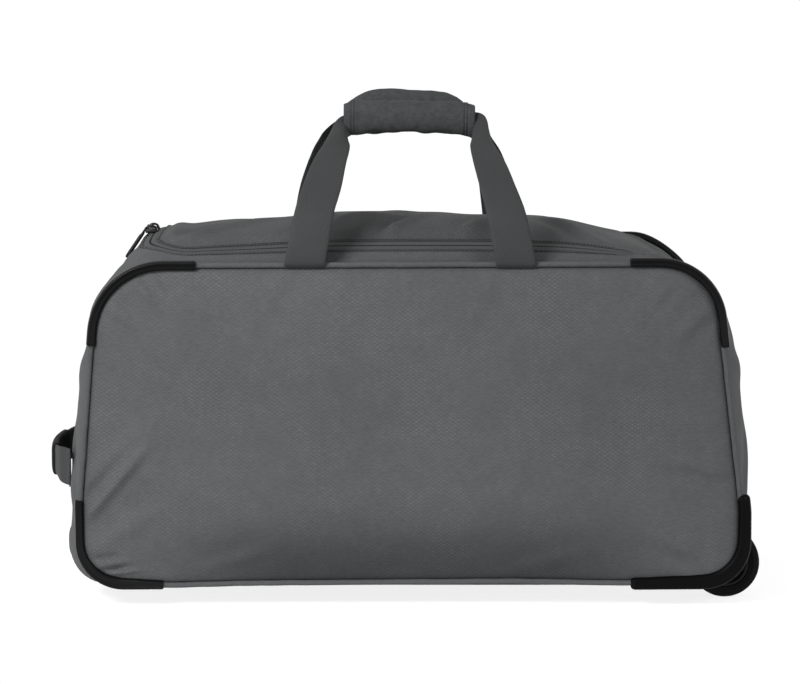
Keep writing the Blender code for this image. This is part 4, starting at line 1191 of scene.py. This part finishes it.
def sleeve(name, side, x0, x1, top_line, bot_line, depth, mat, seed, hems):
    """Padded fabric wrap round the webbing, with hemmed ends; edges follow the given lines."""
    n, M = 190, 72
    t = np.linspace(0, 1, n)
    x = x0 + (x1 - x0) * t
    zt = catmull(np.array([(a, b, 0) for a, b in top_line]), 24)
    zb = catmull(np.array([(a, b, 0) for a, b in bot_line]), 24)
    z1, z0 = np.interp(x, zt[:, 0], zt[:, 1]), np.interp(x, zb[:, 0], zb[:, 1])
    a = np.arange(M) * 2 * math.pi / M
    ca, sa = np.cos(a), np.sin(a)
    py = np.sign(ca) * np.abs(ca) ** 1.0
    pz = np.sign(sa) * np.abs(sa) ** 0.92
    endd = np.minimum(x - x0, x1 - x)
    groove = sum(np.exp(-((endd - hh) / 0.0007) ** 2) for hh in hems)
    roll = sst(0.0, 0.0018, endd)
    puff = (0.80 + 0.12 * roll + 0.08 * sst(0.011, 0.03, endd)) - 0.10 * groove
    hz, zc = (z1 - z0) / 2, (z1 + z0) / 2
    X = np.broadcast_to(x[:, None], (n, M)).copy()
    Y = 0.0130 + depth * py[None] * puff[:, None]
    Z = zc[:, None] + hz[:, None] * pz[None] * (0.965 + 0.035 * roll - 0.02 * groove)[:, None]
    co = np.stack([X, side * Y, Z], -1)
    body = sst(0.010, 0.016, endd)[:, None]
    d = (fnoise(co * np.array([1, 1, 0.45]), 46.0, seed) * 0.0022 + fnoise(co * np.array([1.0, 1, 0.7]), 105.0, seed + 5) * 0.0009) * (0.25 + 0.75 * body)
    low = np.clip(-pz, 0, 1)[None] ** 3
    wave = np.array([noise.noise(Vector((q * 60.0, seed, 1.0))) for q in x])[:, None] * 0.0016 * low
    co[..., 1] += side * d * py[None]
    co[..., 2] += wave + d * 0.5 * pz[None]
    L = np.cumsum(np.hypot(np.diff(np.append(py, py[0]) * depth), np.diff(np.append(pz, pz[0]) * 0.02)))
    uv = np.stack([X, np.broadcast_to(L[None], (n, M))], -1)
    fa = grid_faces(n, M, wj=True)
    # turned-in ends leave the webbing's mouth open
    base_i = n * M
    extra = []
    for ring, off in ((0, 0.006), (n - 1, -0.006)):
        c0 = co[ring].mean(0)
        extra.append(c0 + (co[ring] - c0) * np.array([1, 0.72, 0.88]) + np.array([off, 0, 0]))
    allco = np.vstack([co.reshape(-1, 3)] + extra)
    for k, ring in enumerate((0, n - 1)):
        for j in range(M):
            j2 = (j + 1) % M
            A, B = ring * M + j, ring * M + j2
            C, D = base_i + k * M + j2, base_i + k * M + j
            fa.append((A, B, C, D) if k else (D, C, B, A))
    alluv = np.vstack([uv.reshape(-1, 2), uv[0], uv[-1]])
    ob = make(name, allco, fa, alluv, mat)
    bm = bmesh.new()
    bm.from_mesh(ob.data)
    bmesh.ops.recalc_face_normals(bm, faces=bm.faces)
    bm.to_mesh(ob.data)
    bm.free()
    flip_if(ob, lambda c: c - np.array([(x0 + x1) / 2, side * 0.013, 0.4725]))
    # sewn lines round the hems, on the surface
    rows = []
    for hh in hems:
        for xx in (x0 + hh, x1 - hh):
            k = int(np.argmin(np.abs(x - xx)))
            ring = np.vstack([co[k], co[k][:1]])
            nrm = ring - ring.mean(0)
            nrm[:, 0] = 0
            nrm /= np.linalg.norm(nrm, axis=1)[:, None]
            rows.append((ring, nrm))
    return ob, rows


slv_f, rows_f = sleeve("grip_wrap_front", -1, -0.0570, 0.0760,
                       [(-0.0570, 0.4878), (-0.0500, 0.4892), (-0.0440, 0.4906), (0.0100, 0.4910), (0.0630, 0.4896), (0.0690, 0.4882), (0.0760, 0.4862)],
                       [(-0.0570, 0.4560), (-0.0440, 0.4562), (-0.0200, 0.4588), (0.0100, 0.4600), (0.0400, 0.4582), (0.0630, 0.4552), (0.0760, 0.4538)],
                       0.0142, M_SLV, 3.0, (0.0078, 0.0108))
slv_r, rows_r = sleeve("grip_pad_rear", 1, -0.0560, 0.0690,
                       [(-0.0560, 0.4862), (-0.0480, 0.4920), (-0.0360, 0.4988), (-0.0180, 0.5018), (-0.0050, 0.5021), (0.0120, 0.5013), (0.0400, 0.4992),
                        (0.0540, 0.4955), (0.0620, 0.4908), (0.0690, 0.4840)],
                       [(-0.0560, 0.4545), (-0.0200, 0.4570), (0.0100, 0.4580), (0.0400, 0.4565), (0.0690, 0.4540)],
                       0.0125, M_SLV, 7.0, (0.0085,))

# hem stitching round both wraps
for nm, side, rows in (("grip_stitch_front", -1, rows_f), ("grip_stitch_rear", 1, rows_r)):
    bm = bmesh.new()
    for ring, nrm in rows:
        o = stitch_line(nm + "_tmp", ring, nrm, M_THRD, length=0.0024, gap=0.0010, r=0.00032)
        bm.from_mesh(o.data)
        me_ = o.data
        bpy.data.objects.remove(o, do_unlink=True)
        bpy.data.meshes.remove(me_)
    ob = from_bm(nm, bm, M_THRD)
    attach(ob, "carry_handle_front" if side < 0 else "carry_handle_rear")

# ---------------------------------------------------------------- side grab handle
END_S = S_LEFT_TOP + np.linspace(0, run(S_LEFT_TOP, S_LEFT_BOT), 500)


def end_x(y):
    c = skin(END_S, np.full_like(END_S, y))
    m = (c[:, 2] > 0.106) & (c[:, 2] < 0.158)
    return float(c[m, 0].min())


half_sl = [(-0.3410, 0.0730), (-0.3456, 0.0600), (-0.3492, 0.0450), (-0.3513, 0.0220)]
sl = [(end_x(y) - 0.0020, y) for y in (-0.098, -0.086)] + [(x, -y) for x, y in half_sl] + [(-0.3520, 0.0)] + \
     [(x, y) for x, y in half_sl[::-1]] + [(end_x(y) - 0.0020, y) for y in (0.086, 0.098)]
c = catmull(np.array([(x, y, 0.1272 + 0.0026 * (1 - float(sst(0.05, 0.09, abs(y))))) for x, y in sl]), 12)
n = len(c)
t = np.gradient(c, axis=0)
t /= np.linalg.norm(t, axis=1)[:, None]
h = np.stack([t[:, 1], -t[:, 0], np.zeros(n)], -1)
J = 15
q = np.linspace(-1, 1, J)
L = np.concatenate([[0], np.cumsum(np.linalg.norm(np.diff(c, axis=0), axis=1))])
parts = []
for sgn in (1, -1):
    edge = 0.0012 * np.sqrt(np.clip(1 - np.abs(q) ** 8, 0.05, 1)) * sgn
    P = c[:, None] + np.array([0, 0, 1.0])[None, None] * (q[None] * (0.0150 + 0.0036 * sst(0.050, 0.082, np.abs(c[:, 1])))[:, None])[..., None] + h[:, None] * edge[None, :, None]
    parts.append(P if sgn > 0 else P[:, ::-1])
G = np.concatenate(parts, 1)
uv = np.stack([np.broadcast_to(L[:, None], G.shape[:2]), np.broadcast_to(np.concatenate([q, q[::-1]])[None] * 0.0195, G.shape[:2])], -1)
fa = grid_faces(n, 2 * J, wj=True) + [tuple(range(2 * J)), tuple((n - 1) * 2 * J + k for k in range(2 * J))]
side_strap = make("side_handle_webbing", G.reshape(-1, 3), fa, uv.reshape(-1, 2), M_WEB)
fix_normals(side_strap)

# grip cover: rounded, wrapped round the webbing's bowed middle
sel = np.abs(c[:, 1]) < 0.0500
cc, hh = c[sel], h[sel]
dl = np.concatenate([[0], np.cumsum(np.linalg.norm(np.diff(cc, axis=0), axis=1))])
uu = np.linspace(0, dl[-1], 120)
cc = np.stack([np.interp(uu, dl, cc[:, k]) for k in range(3)], -1)
hh = np.stack([np.interp(uu, dl, hh[:, k]) for k in range(3)], -1)
n, M = len(uu), 48
a = np.arange(M) * 2 * math.pi / M
px_, pz_ = np.sign(np.cos(a)) * np.abs(np.cos(a)) ** 0.7, np.sign(np.sin(a)) * np.abs(np.sin(a)) ** 0.45
ed = np.minimum(uu, uu[-1] - uu)
k = np.sqrt(np.clip(1 - (1 - np.clip(ed / 0.0025, 0, 1)) ** 2, 0.03, 1))
rib = 1 + 0.05 * np.cos(uu / 0.0052 * 2 * math.pi) * sst(0.008, 0.012, ed)
co = cc[:, None] + hh[:, None] * (0.0042 * px_[None] * (k * rib)[:, None])[..., None]
co[..., 2] += 0.0164 * pz_[None] * (0.94 + 0.06 * k)[:, None]
side_grip = make("side_handle_cover", co.reshape(-1, 3), grid_faces(n, M, wj=True) + [tuple(range(M)), tuple((n - 1) * M + q for q in range(M))], None, M_GRIPB)
fix_normals(side_grip)

# ---------------------------------------------------------------- pull handle
_gy = np.concatenate([[-0.0680, -0.0678, -0.0668, -0.0645, -0.0610], np.linspace(-0.056, 0.056, 29), [0.0610, 0.0645, 0.0668, 0.0678, 0.0680]])
_ga = np.arange(48) * 2 * math.pi / 48
_gx, _gz = np.sign(np.cos(_ga)) * np.abs(np.cos(_ga)) ** 0.74, np.sign(np.sin(_ga)) * np.abs(np.sin(_ga)) ** 0.80
_gk = np.sqrt(np.clip(1 - (1 - np.clip((0.068 - np.abs(_gy)) / 0.0075, 0, 1)) ** 2, 0.02, 1))
_gc = np.stack([-0.3270 - 0.0085 * _gx[None] * (0.25 + 0.75 * _gk)[:, None], np.broadcast_to(_gy[:, None], (len(_gy), 48)), 0.0482 + 0.0182 * _gz[None] * (0.45 + 0.55 * _gk)[:, None]], -1)
g = make("pull_grip_body", _gc.reshape(-1, 3), grid_faces(len(_gy), 48, wj=True) + [tuple(range(48)), tuple((len(_gy) - 1) * 48 + q_ for q_ in range(48))], None, M_TROL)
fix_normals(g)
cut(g, box_bm(-0.3600, -0.3290, -0.0185, 0.0185, 0.0386, 0.0576))
bevel(g, 0.0005, 2, 60)
apply_mods(g)
g.data.shade_smooth()
g.data.set_sharp_from_angle(angle=math.radians(40))
b_ = from_bm("pull_button_cap", box_bm(-0.3370, -0.3326, -0.0181, 0.0181, 0.0390, 0.0572), M_BLK)
bevel(b_, 0.0012, 4, 40)
apply_mods(b_)
tr = from_bm("pull_recess_liner", box_bm(-0.3330, -0.2700, -0.0840, 0.0840, 0.0165, 0.0780), M_HOUS)
_s2 = np.arange(600) * TOTAL / 600
_x, _z, _nx, _nz = at(_s2)
cut(tr, prism_y(list(zip(_x + _nx * 0.013, _z + _nz * 0.013)), -0.2, 0.2), 'INTERSECT')
cut(tr, box_bm(-0.3600, -0.2730, -0.0810, 0.0810, 0.0195, 0.0750))
for sd_ in (-1, 1):
    bm = bmesh.new()
    bmesh.ops.create_cone(bm, cap_ends=True, segments=40, radius1=0.0094, radius2=0.0094, depth=0.03,
                          matrix=Matrix.Translation((-0.272, sd_ * 0.052, 0.040)) @ Matrix.Rotation(math.pi / 2, 4, 'Y'))
    cut(tr, bm)
bevel(tr, 0.0007, 2, 40)
tr.data.set_sharp_from_angle(angle=math.radians(35))

# ---------------------------------------------------------------- zip sliders and pulls
PULL = {}
for tag, side in (("front", -1), ("rear", 1)):
    lo, hi = (np.array(v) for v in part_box("zip_slider_" + tag))
    y = side * 0.014
    sb = from_bm("zip_slider_body_" + tag, box_bm(lo[0], hi[0] + 0.0035, lo[1] + 0.0004, hi[1] - 0.0004, lo[2] - 0.0004, hi[2] - 0.0022), M_SLD)
    bevel(sb, 0.0012, 3, 30)
    apply_mods(sb)
    # bridge loop over the slider
    th = np.linspace(0, math.pi, 18)
    loop = np.stack([(lo[0] + hi[0]) / 2 + 0.0018 + 0.0044 * np.cos(th), np.full(18, y), hi[2] - 0.0024 + 0.0030 * np.sin(th)], -1)
    lp = tube("zip_slider_bridge_" + tag, loop, 0.0012, 10, M_SLD, up=(0, 1, 0), squash=(1, 1.9))
    for o in (sb, lp):
        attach(o, "zip_slider_" + tag)
    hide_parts("zip_slider_" + tag)
    # pull: ring plate with a long tab that widens to its end
    a0 = np.array([-0.2594, y, lo[2] + 0.0030])
    d = np.array([-0.0150, 0, -0.0222])
    d /= np.linalg.norm(d)
    nrm = np.array([d[2], 0, -d[0]])
    secs = [(-0.0034, 0.0012, 0.0004), (-0.0028, 0.0026, 0.0009), (0.0010, 0.0034, 0.0009), (0.0056, 0.0030, 0.0009), (0.0066, 0.0032, 0.0014),
            (0.0082, 0.0038, 0.0017), (0.0280, 0.0048, 0.0018), (0.0324, 0.0046, 0.0017), (0.0340, 0.0036, 0.0010), (0.0342, 0.0028, 0.0004)]
    an = np.arange(20) * 2 * math.pi / 20
    ew, et = np.sign(np.cos(an)) * np.abs(np.cos(an)) ** 0.5, np.sign(np.sin(an)) * np.abs(np.sin(an)) ** 0.6
    G = np.array([a0 + d * l + np.outer(ew * w_, [0, 1, 0]) + np.outer(et * t_, nrm) for l, w_, t_ in secs])
    pl = make("zip_pull_tab_" + tag, G.reshape(-1, 3), grid_faces(len(secs), 20, wj=True) + [tuple(range(20)), tuple((len(secs) - 1) * 20 + q_ for q_ in range(20))], None, M_SLD)
    fix_normals(pl)
    hole = bmesh.new()
    bmesh.ops.create_cone(hole, cap_ends=True, segments=20, radius1=0.0015, radius2=0.0015, depth=0.01,
                          matrix=Matrix.Translation(Vector(a0 + d * 0.0006)) @ Vector(nrm).to_track_quat('Z', 'Y').to_matrix().to_4x4())
    cut(pl, hole)
    bevel(pl, 0.0004, 2, 30)
    pl.data.set_sharp_from_angle(angle=math.radians(40))
    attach(pl, "zip_pull_" + tag)
    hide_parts("zip_pull_" + tag)

# ---------------------------------------------------------------- carried-over solids get their finishes
def finish_node(name, mat):
    ob = NODES[name]
    ob.data.materials.clear()
    ob.data.materials.append(mat)


for nm in NODES:
    if "_tube_" in nm:
        finish_node(nm, M_ALU)
    elif nm.startswith("wheel_axle"):
        finish_node(nm, M_STEEL)
    elif nm.startswith("base_rail"):
        finish_node(nm, M_RAIL)
    elif nm == "trolley_end_bracket":
        finish_node(nm, M_HOUS)
finish_node("base_board", M_BOARD)

# ---------------------------------------------------------------- what rides on what
RIDES = [(front, "bag", ["front_panel"], "fabric"), (rear, "bag", ["rear_panel"], "fabric"),
         (handle_end, "bag", ["handle_end_panel"], "fabric"), (base, "bag", ["base_panel"], "fabric"),
         (corner, "bag", ["base_corner_panel"], "fabric"), (wheel_end, "bag", ["wheel_end_panel"], "fabric"),
         (top, "bag", ["top_panel"], "fabric"), (tape_b, "bag", ["zip_track_body"], "zip"), (teeth_b, "bag", [], "zip"),
         (stitch_b, "bag", [], "fabric"), (stitch_l, "lid", [], "fabric"),
         (tape_l, "lid", ["zip_track_lid"], "zip"), (teeth_l, "lid", [], "zip"),
         (pipe_f, "bag", ["front_piping"], "webbing"), (pipe_r, "bag", ["rear_piping"], "webbing"),
         (strap_f, "carry_handle_front", ["carry_strap_front"], "webbing"), (strap_r, "carry_handle_rear", ["carry_strap_rear"], "webbing"),
         (slv_f, "carry_handle_front", ["grip_sleeve_front"], "webbing"), (slv_r, "carry_handle_rear", ["grip_sleeve_rear"], "webbing"),
         (side_strap, "bag", ["side_handle_strap"], "webbing"), (side_grip, "bag", ["side_handle_grip"], "moulded_black"),
         (g, "trolley_stage_2", ["trolley_grip"], "moulded_black"), (b_, "trolley_button", ["trolley_button"], "moulded_black"),
         (tr, "bag", ["trolley_recess_tray"], "moulded_black")]
for ob, body, nodes, sl_ in RIDES:
    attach(ob, body)
    if nodes:
        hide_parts(*nodes)
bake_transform(lid)
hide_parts("lid_panel")

# ---------------------------------------------------------------- stage, light, camera
fl = bmesh.new()
bmesh.ops.create_grid(fl, x_segments=1, y_segments=1, size=3.2)
gm = N("floor_pale")
gm.b.inputs["Base Color"].default_value = (0.94, 0.94, 0.94, 1)
gm.b.inputs["Roughness"].default_value = 0.9
gm.b.inputs["Emission Color"].default_value = (1, 1, 1, 1)
gm.b.inputs["Emission Strength"].default_value = 0.62
gm.b.inputs["Specular IOR Level"].default_value = 0.05
_r = gm.new("ShaderNodeVectorMath", operation='LENGTH')
_m = gm.new("ShaderNodeMapping")
_m.inputs["Scale"].default_value = (0.8, 1.25, 1)
gm.link(gm.obj(), _m.inputs["Vector"])
gm.link(_m.outputs["Vector"], _r.inputs[0])
_f = gm.new("ShaderNodeMapRange", interpolation_type='SMOOTHERSTEP')
gm.link(_r.outputs["Value"], _f.inputs["Value"])
for _k, _v in zip(("From Min", "From Max", "To Min", "To Max"), (0.24, 0.80, 0.5, 0.0)):
    _f.inputs[_k].default_value = _v
gm.link(_f.outputs["Result"], gm.b.inputs["Alpha"])
floor = from_bm("floor", fl, gm.m)
floor.location = (0, 0, -0.0004)

world = bpy.data.worlds.new("studio")
scene.world = world
world.use_nodes = True
# bright near the horizon, softer overhead and below
_wt = world.node_tree
_tc, _sx, _rp = (_wt.nodes.new(k) for k in ("ShaderNodeTexCoord", "ShaderNodeSeparateXYZ", "ShaderNodeValToRGB"))
_mr = _wt.nodes.new("ShaderNodeMapRange")
_mr.inputs["From Min"].default_value, _mr.inputs["From Max"].default_value = -1.0, 1.0
_wt.links.new(_tc.outputs["Generated"], _sx.inputs[0])
_wt.links.new(_sx.outputs["Z"], _mr.inputs["Value"])
_wt.links.new(_mr.outputs["Result"], _rp.inputs["Fac"])
_els = _rp.color_ramp.elements
for _ in range(4):
    _els.new(0.5)
for _el, (_p, _v) in zip(_els, ((0.0, 0.15), (0.30, 0.16), (0.42, 1.02), (0.52, 1.02), (0.61, 0.50), (1.0, 0.36))):
    _el.position, _el.color = _p, (_v, _v, _v, 1)
_lp, _mx = _wt.nodes.new("ShaderNodeLightPath"), _wt.nodes.new("ShaderNodeMix")
_mx.data_type = 'RGBA'
_wt.links.new(_lp.outputs["Is Camera Ray"], _mx.inputs[0])
_wt.links.new(_rp.outputs["Color"], _mx.inputs[6])
_mx.inputs[7].default_value = (1.02, 1.02, 1.02, 1)
_wt.links.new(_mx.outputs[2], _wt.nodes["Background"].inputs[0])
_wt.nodes["Background"].inputs[1].default_value = 1.0


def area(name, loc, target, size, power):
    l = bpy.data.lights.new(name, 'AREA')
    l.shape, l.size, l.size_y, l.energy = 'RECTANGLE', size[0], size[1], power
    o = bpy.data.objects.new(name, l)
    scene.collection.objects.link(o)
    o.location = loc
    o.rotation_euler = (Vector(target) - Vector(loc)).to_track_quat('-Z', 'Y').to_euler()
    return o


area("fill", (1.25, -0.75, 0.75), (0.28, 0.0, 0.24), (0.6, 0.6), 2.2)
area("key", (-0.95, -1.25, 1.15), (-0.05, -0.1, 0.22), (0.7, 0.5), 21)

cam = bpy.data.cameras.new("camera")
cam.sensor_fit, cam.sensor_width, cam.lens = 'HORIZONTAL', 36.0, 3196.0 / 800 * 36.0
cam.clip_end = 60
co_ = bpy.data.objects.new("camera", cam)
scene.collection.objects.link(co_)
co_.location = (0, -3.255, 0.6223)
co_.rotation_euler = (math.radians(90 - 6.64), 0, 0)
scene.camera = co_
scene.view_settings.view_transform = 'Standard'
